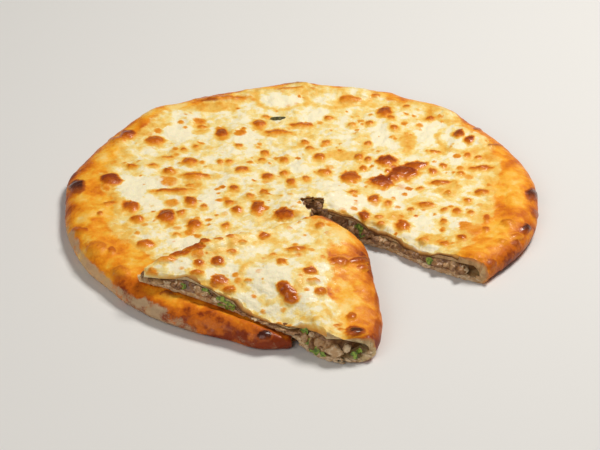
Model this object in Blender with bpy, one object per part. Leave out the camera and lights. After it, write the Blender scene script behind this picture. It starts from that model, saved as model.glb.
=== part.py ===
"""Flat round bread filled with meat and topped with browned cheese, one slice cut out and laid on it.

The round is a shell of dough, bottom layer, rim and thin top layer, open along the two cuts and at the
torn tip. The filling runs through it and the cheese lies on top. The slice is built the same way on its
own tip and outline, and bends down from the round to the table. Sizes are millimetres and degrees;
make_object turns them into metres. X points right, Y away from the front, Z up, and the origin is the
centre of the round's underside.
"""

import math

import bmesh
import bpy
import numpy as np

METRES = 0.001

# Outline of the round, as a radius about the origin
ROUND_RADIUS = 140.0
BACK_EXTRA = 3.2
# angle, half width in degrees, height of each bulge of the outline
ROUND_BULGES = (
    (-36.0, 16.0, -10.0),
    (15.0, 18.0, 2.4),
    (51.0, 6.5, 4.2),
    (67.0, 3.5, 3.4),
    (82.0, 5.0, -2.0),
    (93.0, 5.0, 2.6),
    (110.0, 10.0, -1.4),
    (129.0, 5.0, 3.8),
    (168.0, 7.0, 2.6),
    (216.0, 6.0, -1.4),
    (261.0, 5.5, 4.6),
)

# The wedge that the slice came from
CUT_TIP = (6.5, -12.5)
RIGHT_CUT = -30.2
LEFT_CUT = 264.4
# How far the foot of the right cut stands out of its straight line, by the distance from the tip
RIGHT_CUT_AT = (0.0, 25.0, 40.0, 54.0, 62.0, 70.0, 77.0, 88.0, 102.0, 112.0, 125.0, 140.0)
RIGHT_CUT_PUSH = (0.0, -0.5, -1.0, -1.4, 0.4, 2.0, 3.6, 3.5, 3.4, 2.4, 0.8, 0.0)
# The cut faces lean back from their foot: how far in all, over which height, and full from where on
CUT_LEAN = 4.0
LEAN_HEIGHT = 12.0
LEAN_START = 30.0

# The slice as it lies: its tip, its two cuts and its rim
SLICE_TIP = (-86.0, -91.0)
SLICE_FRONT = -28.5
SLICE_BACK = 28.2
SLICE_RIM_ANGLES = (-28.5, -22.0, -16.0, -6.0, 5.0, 15.0, 22.0, 28.2)
SLICE_RIM_REACH = (129.0, 134.0, 134.5, 130.0, 126.5, 127.0, 121.0, 115.0)

# Heights of the slice's front cut, by the distance from its tip
FRONT_TOP_AT = (0.0, 14.0, 24.0, 34.0, 42.0, 52.0, 63.0, 72.0, 80.0, 87.0, 92.0, 97.0, 104.0, 113.0, 119.0,
                127.0, 140.0)
FRONT_TOP = (25.6, 24.8, 25.8, 24.5, 22.4, 20.6, 17.8, 15.4, 14.2, 13.2, 14.4, 17.4, 21.4, 16.6, 15.8,
             18.2, 16.2)
FRONT_BOTTOM_AT = (0.0, 14.0, 25.0, 45.0, 60.0, 75.0, 86.0, 92.0, 97.0, 102.0, 108.0, 140.0)
FRONT_BOTTOM = (15.2, 14.4, 13.2, 12.6, 11.6, 10.4, 9.9, 9.0, 5.0, 1.2, 0.2, 0.2)
FRONT_BLEND = 16.0
# The slice's front cut turns back near the rim: how far its foot stands forward, and reaches along
FRONT_CUT_AT = (0.0, 98.0, 104.0, 110.0, 115.0, 119.0, 124.0, 129.0, 133.0, 137.0)
FRONT_CUT_PUSH = (0.0, 0.0, 0.0, 1.6, 3.8, 3.0, -4.5, -11.0, -12.0, -12.0)
FRONT_REACH = 9.0
FRONT_REACH_AT = (108.0, 129.0)
# The slice's tip is drawn out
TIP_REACH = 4.5
TIP_REACH_WIDTH = 20.0

# Section of both breads
MIDDLE_HEIGHT = 12.3
RIM_WIDEST = 5.0
RIM_CREST_INSET = 13.0
RIM_FOOT_INSET = 5.0
ROUND_RIM_WALL = 4.5
SLICE_RIM_WALL = 2.6
SLICE_RIM_THINNING = 1.9
THINNING_OVER = 10.4
POCKET_NOSE = 4.0
BOTTOM_LAYER = 2.4
TOP_LAYER = 1.5
CHEESE_LAYER = 2.2
CLEARANCE = 0.3
FILLING_LEAST = 0.6
LEAST_SHARE = 0.2
REACH_ROUNDS = 6
CHEESE_INSET = 19.0
SLICE_CHEESE_INSET = 17.0
GROOVE = 0.5

# Broad forms of the round's top
CENTRE_RISE = 1.5
CENTRE_WIDTH = 80.0
RIM_RISE = 0.9
RIM_RISE_WIDTH = 8.0
TIP_LIFT = 6.4
TIP_LIFT_WIDTH = 22.0
DIP_PLACE = (56.0, -41.0)
DIP_DEPTH = 3.0
DIP_WIDTH = 24.0
# x, y, radius and height of the large air bubbles under the cheese
ROUND_BUBBLES = (
    (-99.0, 98.0, 15.0, 3.4),
    (-11.0, 121.0, 15.0, 2.6),
    (19.0, 126.0, 16.0, 2.8),
    (103.0, 68.0, 16.0, 3.2),
    (92.0, 99.0, 10.0, 2.4),
    (37.0, 124.0, 9.0, 2.2),
    (-124.0, -52.0, 11.0, 2.0),
)
SLICE_BUBBLES = (
    (-52.0, -69.0, 13.0, 1.8),
    (-14.0, -100.0, 16.0, 1.4),
    (22.0, -62.0, 12.0, 2.0),
    (26.0, -120.0, 12.0, 1.2),
)
LUMP_SEED = 11
LUMP_COUNT = 90
LUMP_RADIUS = (5.0, 14.0)
LUMP_HEIGHT = (0.3, 1.5)

# The slice lies this far above the round, and presses the cheese down round it
SLICE_BED = 13.6
SLICE_TIP_RISE = 1.6
SLICE_TIP_RISE_WIDTH = 28.0
# The slice drops from this line forward, over this distance, and reaches its bed within these distances
DROP_FROM = -35.0
DROP_OVER = 112.0
DROP_LEAST = 1.5
DROP_MOST = 12.0
DROP_POWER = 0.9
DROP_EASE = 34.0
DROP_EASE_LOSS = 24.0
SLICE_GAP = 1.0
PRESS_MARGIN = 8.0
CORNER_PLACE = (-9.0, -128.0)
CORNER_SAG = 1.6
CORNER_WIDTH = 15.0
SLICE_THICKNESS = 12.4
BACK_RIDGE = 3.8
RIDGE_INSET = 3.0
RIDGE_WIDTH = 8.0
RIDGE_AT = 38.0
RIDGE_LENGTH = 42.0
CURTAIN_AT = 106.0
CURTAIN_WIDTH = 7.0
CURTAIN_DEPTH = 3.4
CURTAIN_REACH = 7.0
TIP_CHEESE = 2.0
TIP_CHEESE_WIDTH = 20.0

# Torn edges at the tips, as distances from the tip
ROUND_TIP = {"bottom": 2.0, "top": 9.0, "filling": 4.0}
SLICE_TIP_CUT = {"bottom": 1.0, "top": 3.0, "filling": 1.8}

# The filling stops short of the rim where a cut shows the hollow
FILLING_INSET = 5.6
SLICE_FILLING_INSET = 7.2
FILLING_SHOULDER = 0.22
SHOULDER_CLEARANCE = 0.8
HOLLOW_LENGTH = 10.4
HOLLOW_DEPTH = 14.0

# Pieces of the filling that stand out of the visible cut faces
# distance from the tip, radius and share of the way up the pocket of each lump of meat or cheese
ROUND_LUMPS = ((19.0, 2.6, 0.6), (28.0, 2.2, 0.5), (41.0, 1.6, 0.5), (72.0, 1.6, 0.5), (90.0, 2.0, 0.5))
SLICE_LUMPS = ((22.0, 2.2, 0.5), (33.0, 2.0, 0.5), (100.0, 2.4, 0.65), (108.0, 3.0, 0.6))
# distance from the tip, length, share of the way up and turn in degrees of each herb leaf
ROUND_LEAVES = ((35.0, 6.0, 0.5, 20.0), (81.0, 4.0, 0.5, -15.0))
SLICE_LEAVES = ((47.0, 5.0, 0.5, -15.0), (104.0, 5.0, 0.36, 8.0))
LUMP_SINK = 0.3
LUMP_ROUGHNESS = 0.16
POCKET_MARGIN = 0.9
LEAF_WIDTH = 0.55
LEAF_THICKNESS = 0.6
LEAF_BLUNTNESS = 1.15
LEAF_WAVE = 0.5
LEAF_WAVE_TURNS = (2.4, 1.3)
LEAF_SINK = 0.4

# Mesh fineness: the layers share their rows and columns, so that their facets keep the same gap
ROUND_COLUMNS = 54
SLICE_COLUMNS = 12
TOP_ROWS = 11
# Turns in degrees of the rows round the rim, below and above its widest place, and round the pocket's nose
RIM_LOW_TURNS = (-90.0, -40.0, 0.0)
RIM_HIGH_TURNS = (35.0, 62.0, 90.0)
NOSE_TURNS = (-90.0, -55.0, -20.0, 20.0, 55.0, 90.0)
LEAF_ROWS = (-1.0, -0.6, 0.0, 0.6, 1.0)
LEAF_COLUMNS = (-1.0, 0.0, 1.0)


def smooth_step(value):
    """Goes from 0 to 1 with level ends as value goes from 0 to 1."""
    value = np.clip(value, 0.0, 1.0)
    return value * value * (3.0 - 2.0 * value)


def bump(distance, width):
    """A bell of height 1 that falls off with distance."""
    return np.exp(-((distance / width) ** 2))


def through(value, places, heights):
    """A smooth curve through the given heights: a cubic between each two places, with shared slopes."""
    places = np.asarray(places)
    heights = np.asarray(heights)
    slopes = np.gradient(heights, places)
    value = np.clip(value, places[0], places[-1])
    left = np.clip(np.searchsorted(places, value, side="right") - 1, 0, len(places) - 2)
    step = places[left + 1] - places[left]
    t = (value - places[left]) / step
    return (
        heights[left] * (1.0 + 2.0 * t) * (1.0 - t) ** 2
        + slopes[left] * step * t * (1.0 - t) ** 2
        + heights[left + 1] * t**2 * (3.0 - 2.0 * t)
        + slopes[left + 1] * step * t**2 * (t - 1.0)
    )


def turned(angle):
    """Unit vector at an angle in degrees."""
    return np.cos(np.radians(angle)), np.sin(np.radians(angle))


def outline_radius(angle):
    """The round's radius about the origin: a circle, larger at the back, with a few bulges."""
    radius = ROUND_RADIUS + BACK_EXTRA * np.sin(np.radians(angle))
    for centre, width, height in ROUND_BULGES:
        away = (angle - centre + 180.0) % 360.0 - 180.0
        radius = radius + height * bump(away, width)
    return radius


def lumps(x, y, bubbles):
    """Uneven top: named bubbles and many small seeded mounds, each a bell."""
    draw = np.random.default_rng(LUMP_SEED)
    reach = ROUND_RADIUS * np.sqrt(draw.random(LUMP_COUNT))
    angle = draw.random(LUMP_COUNT) * 2.0 * math.pi
    radius = draw.uniform(*LUMP_RADIUS, LUMP_COUNT)
    height = draw.uniform(*LUMP_HEIGHT, LUMP_COUNT)
    total = np.zeros_like(x)
    for r, a, w, h in zip(reach, angle, radius, height):
        total += h * bump(np.hypot(x - r * math.cos(a), y - r * math.sin(a)), w)
    for bx, by, w, h in bubbles:
        total += h * bump(np.hypot(x - bx, y - by), w)
    return total


class Bread:
    """Layers of one piece of bread, worked out at any place by its angle and distance from the cut tip."""

    def place(self, angle, q):
        """Ground position of a point at distance q from the tip."""
        cos, sin = turned(angle)
        return self.tip[0] + q * cos, self.tip[1] + q * sin

    def rim_factor(self, inset):
        """Quarter ellipse from 0 at the outline to 1 at the crest of the rim."""
        t = np.clip((RIM_CREST_INSET - inset) / RIM_CREST_INSET, 0.0, 1.0)
        return np.sqrt(1.0 - t**2)

    def layers(self, angle, q):
        """Heights of every layer at a place: each is the bottom plus a share of the total thickness."""
        x, y = self.place(angle, q)
        inset = self.reach(angle) - q
        bottom = self.bottom(x, y)
        factor = self.rim_factor(inset)
        middle = bottom + RIM_WIDEST
        smooth_top = self.pressed(x, y, middle + (self.base(x, y) - middle) * factor)
        uneven_top = middle + (self.base(x, y) + lumps(x, y, self.bubbles) - middle) * factor
        uneven_top = np.maximum(self.pressed(x, y, uneven_top), smooth_top)
        gaps = 3.0 * CLEARANCE + FILLING_LEAST
        layers = CHEESE_LAYER + TOP_LAYER + BOTTOM_LAYER
        share = np.clip((smooth_top - bottom - gaps) / layers, LEAST_SHARE, 1.0)
        cheese_under = smooth_top - CHEESE_LAYER * share - self.curtain(x, y)
        dough_top = cheese_under - CLEARANCE
        thinning = self.rim_thinning * np.clip((self.cheese_inset - inset) / THINNING_OVER, 0.0, 1.0)
        ceiling = dough_top - (TOP_LAYER - thinning) * share
        floor = bottom + BOTTOM_LAYER * share
        t = np.clip((self.rim_wall + POCKET_NOSE - inset) / POCKET_NOSE, 0.0, 1.0)
        nose = np.sqrt(1.0 - t**2)
        centre = (floor + ceiling) / 2.0
        return {
            "bottom": bottom,
            "middle": middle,
            "uneven_top": uneven_top,
            "cheese_under": cheese_under,
            "dough_top": dough_top,
            "ceiling": centre + (ceiling - centre) * nose,
            "floor": centre - (centre - floor) * nose,
        }

    def curtain(self, x, y):
        return 0.0

    def pressed(self, x, y, height):
        return height

    def row(self, angle, q, height):
        """One row of points, at the heights given or at those of the layer named."""
        values = self.layers(angle, q)[height] if isinstance(height, str) else height
        x, y = self.place(angle, q)
        x, y = self.moved(x, y, angle, q, values - self.bottom(x, y))
        return np.stack(np.broadcast_arrays(x, y, values), axis=-1)


class Round(Bread):
    """The round, cut tip near its middle and the wedge gap at the front right."""

    tip = CUT_TIP
    bubbles = ROUND_BUBBLES
    span = (RIGHT_CUT, LEFT_CUT)
    tip_cut = ROUND_TIP
    rim_wall = ROUND_RIM_WALL
    rim_thinning = 0.0
    level = True
    cheese_inset = CHEESE_INSET

    def reach(self, angle):
        """Distance from the tip to the outline, where a ray meets the circle of the local radius."""
        cos, sin = turned(angle)
        along = self.tip[0] * cos + self.tip[1] * sin
        squared = self.tip[0] ** 2 + self.tip[1] ** 2
        distance = np.full_like(cos, ROUND_RADIUS)
        for _ in range(REACH_ROUNDS):
            x, y = self.place(angle, distance)
            radius = outline_radius(np.degrees(np.arctan2(y, x)))
            distance = np.sqrt(radius**2 - squared + along**2) - along
        return distance

    def bottom(self, x, y):
        return np.zeros_like(x)

    def base(self, x, y):
        """Broad height of the top: a slight dome, a raised rim, a lifted tip and a dip at the right cut."""
        from_middle = np.hypot(x, y)
        from_tip = np.hypot(x - self.tip[0], y - self.tip[1])
        from_dip = np.hypot(x - DIP_PLACE[0], y - DIP_PLACE[1])
        from_crest = ROUND_RADIUS - RIM_CREST_INSET - from_middle
        height = MIDDLE_HEIGHT + CENTRE_RISE * bump(from_middle, CENTRE_WIDTH)
        height = height + RIM_RISE * bump(from_crest, RIM_RISE_WIDTH)
        height = height + TIP_LIFT * bump(from_tip, TIP_LIFT_WIDTH)
        return height - DIP_DEPTH * bump(from_dip, DIP_WIDTH)

    def pressed(self, x, y, height):
        """Lowers the top where the slice lies on it, most at the corner by the left cut."""
        share = smooth_step((SLICE.inside(x, y) + PRESS_MARGIN) / PRESS_MARGIN)
        from_corner = np.hypot(x - CORNER_PLACE[0], y - CORNER_PLACE[1])
        limit = SLICE.bottom(x, y) - SLICE_GAP - CORNER_SAG * bump(from_corner, CORNER_WIDTH)
        return height - share * np.maximum(height - limit, 0.0)

    def moved(self, x, y, angle, q, up):
        """Ground position at a height above the bottom: the right cut is uneven and leans back."""
        from_cut = q * np.radians(angle - RIGHT_CUT)
        lean = CUT_LEAN * smooth_step(q / LEAN_START) * smooth_step(up / LEAN_HEIGHT)
        push = (through(q, RIGHT_CUT_AT, RIGHT_CUT_PUSH) - lean) * np.exp(-from_cut / HOLLOW_DEPTH)
        cos, sin = turned(RIGHT_CUT - 90.0)
        return x + push * cos, y + push * sin

    def filling_inset(self, angle, q):
        """How far inside the outline the filling ends: further in beside the right cut."""
        from_cut = q * np.radians(angle - RIGHT_CUT)
        return FILLING_INSET + HOLLOW_LENGTH * bump(from_cut, HOLLOW_DEPTH)


class Slice(Bread):
    """The slice, its tip on the round's left front and its rim bent down to the table."""

    tip = SLICE_TIP
    bubbles = SLICE_BUBBLES
    span = (SLICE_FRONT, SLICE_BACK)
    tip_cut = SLICE_TIP_CUT
    rim_wall = SLICE_RIM_WALL
    rim_thinning = SLICE_RIM_THINNING
    level = False
    cheese_inset = SLICE_CHEESE_INSET

    def reach(self, angle):
        return through(angle, SLICE_RIM_ANGLES, SLICE_RIM_REACH)

    def polar(self, x, y):
        """Distance from the slice's tip and angle about it."""
        angle = np.degrees(np.arctan2(y - self.tip[1], x - self.tip[0]))
        return np.hypot(x - self.tip[0], y - self.tip[1]), angle

    def from_front(self, x, y):
        """Distance along the front cut and distance behind it."""
        q, angle = self.polar(x, y)
        cos, sin = turned(angle - SLICE_FRONT)
        return q * cos, q * sin

    def inside(self, x, y):
        """Distance inside the slice's outline, negative outside it."""
        q, angle = self.polar(x, y)
        from_front = q * np.sin(np.radians(np.clip(angle - SLICE_FRONT, -90.0, 90.0)))
        from_back = q * np.sin(np.radians(np.clip(SLICE_BACK - angle, -90.0, 90.0)))
        return np.minimum(np.minimum(from_front, from_back), self.reach(angle) - q)

    def bed(self, x, y):
        """Underside away from the front cut: level on the round, then down past the round's left cut.

        The drop grows towards the front, where it reaches the table, and is steeper there.
        """
        q, _ = self.polar(x, y)
        cos, sin = turned(LEFT_CUT + 90.0)
        past_cut = np.maximum((x - CUT_TIP[0]) * cos + (y - CUT_TIP[1]) * sin, 0.0)
        forward = np.clip((DROP_FROM - y) / DROP_OVER, 0.0, 1.0)
        eased = 1.0 - bump(past_cut, DROP_EASE - DROP_EASE_LOSS * forward)
        drop = (DROP_LEAST + DROP_MOST * forward**DROP_POWER) * eased
        return SLICE_BED + SLICE_TIP_RISE * bump(q, SLICE_TIP_RISE_WIDTH) - drop

    def bottom(self, x, y):
        """The bed, blended into the height of the front cut's lower edge."""
        along, behind = self.from_front(x, y)
        share = bump(np.maximum(behind, 0.0), FRONT_BLEND)
        edge = through(along, FRONT_BOTTOM_AT, FRONT_BOTTOM)
        return np.maximum(self.bed(x, y) * (1.0 - share) + edge * share, FRONT_BOTTOM[-1])

    def base(self, x, y):
        """Even thickness with a ridge along the back cut, blended into the front cut's upper edge."""
        along, behind = self.from_front(x, y)
        q, angle = self.polar(x, y)
        from_back = q * np.sin(np.radians(SLICE_BACK - angle))
        ridge = BACK_RIDGE * bump(from_back - RIDGE_INSET, RIDGE_WIDTH) * bump(q - RIDGE_AT, RIDGE_LENGTH)
        share = bump(np.maximum(behind, 0.0), FRONT_BLEND)
        edge = through(along, FRONT_TOP_AT, FRONT_TOP)
        return (self.bed(x, y) + SLICE_THICKNESS + ridge) * (1.0 - share) + edge * share

    def curtain(self, x, y):
        """Cheese that hangs down over the front cut in one place, and is thick at the tip."""
        along, behind = self.from_front(x, y)
        hanging = CURTAIN_DEPTH * bump(along - CURTAIN_AT, CURTAIN_WIDTH)
        thick = TIP_CHEESE * bump(along, TIP_CHEESE_WIDTH)
        return (hanging + thick) * bump(behind, CURTAIN_REACH)

    def moved(self, x, y, angle, q, up):
        """Ground position at a height above the bottom.

        The front cut leans back and turns back near the rim, and the tip is drawn out.
        """
        along, behind = self.from_front(x, y)
        near = np.exp(-np.maximum(behind, 0.0) / HOLLOW_DEPTH)
        start, full = FRONT_REACH_AT
        reach = FRONT_REACH * smooth_step((along - start) / (full - start)) * near
        lean = CUT_LEAN * smooth_step(along / LEAN_START) * smooth_step(up / LEAN_HEIGHT)
        back = (lean - through(along, FRONT_CUT_AT, FRONT_CUT_PUSH)) * near
        cos, sin = turned(SLICE_FRONT)
        x = x + reach * cos - back * sin
        y = y + reach * sin + back * cos
        return x - TIP_REACH * bump(q, TIP_REACH_WIDTH), y

    def filling_inset(self, angle, q):
        """How far inside the outline the filling ends: further in beside the front cut."""
        behind = q * np.radians(angle - SLICE_FRONT)
        hollow = (HOLLOW_LENGTH + FILLING_INSET - SLICE_FILLING_INSET) * bump(behind, HOLLOW_DEPTH)
        return SLICE_FILLING_INSET + hollow


SLICE = Slice()
ROUND = Round()


def top_rows(bread, angle):
    """Distances from the tip of the rows that the upper layers share, from the cheese's edge inwards."""
    edge = bread.reach(angle) - bread.cheese_inset
    share = np.linspace(0.0, 1.0, TOP_ROWS)[:, None]
    return edge + (bread.tip_cut["top"] - edge) * share


def dough_shell(bread, columns):
    """Outer and inner sheets of the dough, from the bottom layer's tip round the rim to the top's tip.

    Outside, the section is a flat bottom, a rim of two quarter ellipses and the top, with a step down
    where the cheese begins. Inside it is the pocket: its floor, a rounded nose and its ceiling.
    """
    angle = np.linspace(*bread.span, columns)
    reach = bread.reach(angle)
    low_tip = np.full_like(angle, bread.tip_cut["bottom"])
    outer = []
    inner = []
    rows = top_rows(bread, angle)
    low_rows = (rows[TOP_ROWS // 2], rows[0]) if bread.level else rows[::-1]
    for q in (low_tip, *low_rows):
        outer.append(bread.row(angle, q, "bottom"))
        inner.append(bread.row(angle, q, "floor"))
    for turn in RIM_LOW_TURNS:
        cos, sin = turned(turn)
        q = reach - RIM_FOOT_INSET * (1.0 - cos)
        at = bread.layers(angle, q)
        outer.append(bread.row(angle, q, at["bottom"] + (at["middle"] - at["bottom"]) * (1.0 + sin)))
    for turn in RIM_HIGH_TURNS:
        cos, _ = turned(turn)
        outer.append(bread.row(angle, reach - RIM_CREST_INSET * (1.0 - cos), "uneven_top"))
    for turn in NOSE_TURNS:
        cos, sin = turned(turn)
        q = reach - bread.rim_wall - POCKET_NOSE * (1.0 - cos)
        inner.append(bread.row(angle, q, "floor" if sin < 0.0 else "ceiling"))
    outer.append(bread.row(angle, rows[0] + 2.0 * GROOVE, "uneven_top"))
    inner.append(bread.row(angle, rows[0] + 2.0 * GROOVE, "ceiling"))
    rows[0] += GROOVE
    for q in rows:
        outer.append(bread.row(angle, q, "dough_top"))
        inner.append(bread.row(angle, q, "ceiling"))
    return np.array(outer), np.array(inner)


def cheese_sheet(bread, columns):
    """Upper and lower faces of the cheese, from its outer edge to the tip."""
    angle = np.linspace(*bread.span, columns)
    upper = []
    lower = []
    for q in top_rows(bread, angle):
        upper.append(bread.row(angle, q, "uneven_top"))
        lower.append(bread.row(angle, q, "cheese_under"))
    return np.array(upper), np.array(lower)


def filling_body(bread, columns):
    """Upper and lower faces of the filling, clear of the pocket's ceiling and floor."""
    angle = np.linspace(*bread.span, columns)
    reach = bread.reach(angle)
    edge = reach - bread.filling_inset(angle, reach)
    rows = top_rows(bread, angle)
    shoulder = edge + (rows[0] - edge) * FILLING_SHOULDER
    tip = np.full_like(angle, bread.tip_cut["filling"])
    upper = []
    lower = []
    for q in (edge, shoulder, *rows, tip):
        at = bread.layers(angle, q)
        gap = SHOULDER_CLEARANCE if q is edge or q is shoulder else CLEARANCE
        upper.append(bread.row(angle, q, at["ceiling"] - gap))
        lower.append(bread.row(angle, q, at["floor"] + CLEARANCE))
    return np.array(upper), np.array(lower)


def sheet_faces(rows, columns, start, other_diagonal):
    """Triangles of a grid, all split along the same diagonal."""
    index = start + np.arange(rows * columns).reshape(rows, columns)
    a, b = index[:-1, :-1].ravel(), index[1:, :-1].ravel()
    c, d = index[1:, 1:].ravel(), index[:-1, 1:].ravel()
    if other_diagonal:
        a, b, c, d = b, c, d, a
    return np.concatenate([np.stack([a, b, c], 1), np.stack([a, c, d], 1)])


def border(rows, columns):
    """The indices round the edge of a grid, in order."""
    index = np.arange(rows * columns).reshape(rows, columns)
    return np.concatenate([index[0, :-1], index[:-1, -1], index[-1, :0:-1], index[:0:-1, 0]])


def closed_mesh(name, outer, inner, inner_diagonal):
    """A mesh of two sheets of the same grid, joined round their edge into one closed body.

    A sheet whose rows run the other way from its neighbour's takes the other diagonal, so that both
    bend along the same lines.
    """
    rows, columns, _ = outer.shape
    count = rows * columns
    points = np.concatenate([outer.reshape(-1, 3), inner.reshape(-1, 3)]) * METRES
    edge = border(rows, columns)
    after = np.roll(edge, -1)
    sides = np.concatenate([
        np.stack([edge, edge + count, after + count], 1),
        np.stack([edge, after + count, after], 1),
    ])
    faces = np.concatenate([
        sheet_faces(rows, columns, 0, False),
        sheet_faces(rows, columns, count, inner_diagonal)[:, ::-1],
        sides[:, ::-1],
    ])
    first, second, third = (points[faces[:, corner]] for corner in range(3))
    if np.einsum("ij,ij->", first, np.cross(second, third)) < 0.0:
        faces = faces[:, ::-1]
    mesh = bpy.data.meshes.new(name)
    mesh.from_pydata(points.tolist(), [], faces.tolist())
    mesh.validate()
    return mesh


def cut_frame(bread, q, share):
    """A point on the bread's first cut face, the room above and below it, and the way along the cut."""
    angle = np.array([bread.span[0]])
    at = bread.layers(angle, np.array([q]))
    floor, ceiling = at["floor"][0] + CLEARANCE, at["ceiling"][0] - CLEARANCE
    height = floor + (ceiling - floor) * share
    x, y = bread.place(angle, np.array([q]))
    x, y = bread.moved(x, y, angle, np.array([q]), height - at["bottom"])
    room = min(height - floor, ceiling - height) - POCKET_MARGIN
    cos, sin = turned(bread.span[0])
    return np.array([x[0], y[0], height]), room, np.array([cos, sin, 0.0]), np.array([-sin, cos, 0.0])


def lump_mesh(bread, q, radius, share, draw):
    """A rough ball, as flat as the pocket asks, sunk a little into the cut face."""
    centre, room, along, inward = cut_frame(bread, q, share)
    ball = bmesh.new()
    bmesh.ops.create_icosphere(ball, subdivisions=2, radius=1.0)
    for vertex in ball.verts:
        x, y, z = vertex.co * (1.0 + draw.uniform(-LUMP_ROUGHNESS, LUMP_ROUGHNESS))
        point = centre + along * x * radius + inward * (y + LUMP_SINK) * radius
        point[2] += z * min(radius, room)
        vertex.co = point * METRES
    mesh = bpy.data.meshes.new("lump")
    ball.to_mesh(mesh)
    ball.free()
    return mesh


def leaf_mesh(bread, q, length, share, turn):
    """A thin wavy leaf, a little over half of it in the cut face, both faces on the same triangles."""
    centre, room, along, inward = cut_frame(bread, q, share)
    half = np.array(LEAF_ROWS)[:, None]
    across = np.array(LEAF_COLUMNS)[None, :]
    width = LEAF_WIDTH * length / 2.0 * np.sqrt(LEAF_BLUNTNESS - half**2)
    u = half * length / 2.0 + 0.0 * across
    v = across * width + LEAF_SINK
    wave = LEAF_WAVE * np.sin(LEAF_WAVE_TURNS[0] * half + LEAF_WAVE_TURNS[1] * across)
    cos, sin = turned(turn)
    rise = np.clip(u * sin + wave, -room, room)
    middle = centre + (u * cos)[..., None] * along + v[..., None] * inward
    middle[..., 2] += rise
    lift = np.array([0.0, 0.0, LEAF_THICKNESS / 2.0])
    return closed_mesh("leaf", middle + lift, middle - lift, False)


def add_pieces(filling, bread, balls, leaves, seed):
    """Joins the lumps and leaves of a cut face to the filling with one Boolean union."""
    draw = np.random.default_rng(seed)
    meshes = [lump_mesh(bread, *ball, draw) for ball in balls]
    meshes += [leaf_mesh(bread, *leaf) for leaf in leaves]
    group = bpy.data.collections.new("pieces")
    for mesh in meshes:
        group.objects.link(bpy.data.objects.new(mesh.name, mesh))
    joined = filling.modifiers.new("join", "BOOLEAN")
    joined.operation = "UNION"
    joined.operand_type = "COLLECTION"
    joined.collection = group
    joined.solver = "MANIFOLD"
    bpy.context.view_layer.update()
    result = bpy.data.meshes.new_from_object(filling.evaluated_get(bpy.context.evaluated_depsgraph_get()))
    filling.modifiers.remove(joined)
    filling.data = result
    for piece in list(group.objects):
        bpy.data.objects.remove(piece, do_unlink=True)
    bpy.data.collections.remove(group)


def material(name, colour, roughness):
    """A matt food surface in one colour."""
    made = bpy.data.materials.new(name)
    made.use_nodes = True
    shader = made.node_tree.nodes["Principled BSDF"]
    shader.inputs["Base Color"].default_value = (*colour, 1.0)
    shader.inputs["Roughness"].default_value = roughness
    shader.inputs["Metallic"].default_value = 0.0
    return made


def make_object(name, sheets, finish, inner_diagonal=False, crease=40.0):
    """One named object from two sheets, shaded smooth but for its cut edges."""
    mesh = closed_mesh(name, *sheets, inner_diagonal)
    mesh.materials.append(finish)
    mesh.shade_smooth()
    mesh.set_sharp_from_angle(angle=math.radians(crease))
    made = bpy.data.objects.new(name, mesh)
    bpy.context.scene.collection.objects.link(made)
    return made


for old in list(bpy.data.objects):
    bpy.data.objects.remove(old, do_unlink=True)

CRUST = material("crust", (0.66, 0.34, 0.10), 0.55)
CHEESE = material("cheese", (0.90, 0.78, 0.48), 0.4)
FILLING = material("filling", (0.30, 0.21, 0.15), 0.6)

make_object("bread_dough", dough_shell(ROUND, ROUND_COLUMNS), CRUST)
make_object("bread_cheese", cheese_sheet(ROUND, ROUND_COLUMNS), CHEESE)
round_body = make_object("bread_filling", filling_body(ROUND, ROUND_COLUMNS), FILLING, inner_diagonal=True)
add_pieces(round_body, ROUND, ROUND_LUMPS, ROUND_LEAVES, seed=3)
make_object("slice_dough", dough_shell(SLICE, SLICE_COLUMNS), CRUST)
make_object("slice_cheese", cheese_sheet(SLICE, SLICE_COLUMNS), CHEESE)
slice_body = make_object("slice_filling", filling_body(SLICE, SLICE_COLUMNS), FILLING, inner_diagonal=True)
add_pieces(slice_body, SLICE, SLICE_LUMPS, SLICE_LEAVES, seed=5)
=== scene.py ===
"""Looks of the filled cheese bread: browned cheese, blistered rim, cut faces with meat and herbs.

Every piece is one numpy surface in millimetres, in the frame of the solids, and is turned into metres
when its mesh is made. A piece of bread is described by an angle about its cut tip and a distance q from
that tip; `layers` gives the height of each layer there. X points right, Y away from the camera, Z up.
"""

import math

import bmesh
import bpy
import numpy as np
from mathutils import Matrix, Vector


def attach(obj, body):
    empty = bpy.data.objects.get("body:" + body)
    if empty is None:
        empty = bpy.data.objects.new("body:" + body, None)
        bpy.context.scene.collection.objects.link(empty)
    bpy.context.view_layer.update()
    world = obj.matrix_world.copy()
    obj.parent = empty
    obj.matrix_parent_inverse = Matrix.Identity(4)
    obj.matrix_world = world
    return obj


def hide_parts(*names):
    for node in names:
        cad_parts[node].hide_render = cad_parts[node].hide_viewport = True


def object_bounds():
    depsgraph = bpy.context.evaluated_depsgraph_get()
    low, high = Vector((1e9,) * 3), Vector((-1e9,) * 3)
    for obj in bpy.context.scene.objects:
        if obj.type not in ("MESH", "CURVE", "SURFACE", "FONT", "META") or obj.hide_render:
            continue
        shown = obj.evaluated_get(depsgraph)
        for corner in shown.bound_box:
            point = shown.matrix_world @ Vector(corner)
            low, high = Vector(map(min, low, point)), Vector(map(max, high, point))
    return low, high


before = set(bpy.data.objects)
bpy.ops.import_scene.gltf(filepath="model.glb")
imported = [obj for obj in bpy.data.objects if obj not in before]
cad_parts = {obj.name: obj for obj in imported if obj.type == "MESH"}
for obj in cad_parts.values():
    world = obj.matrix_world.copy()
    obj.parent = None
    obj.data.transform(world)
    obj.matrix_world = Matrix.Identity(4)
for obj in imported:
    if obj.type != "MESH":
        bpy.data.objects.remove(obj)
SOLID_BOUNDS = [list(corner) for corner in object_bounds()]

METRES = 0.001

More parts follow.
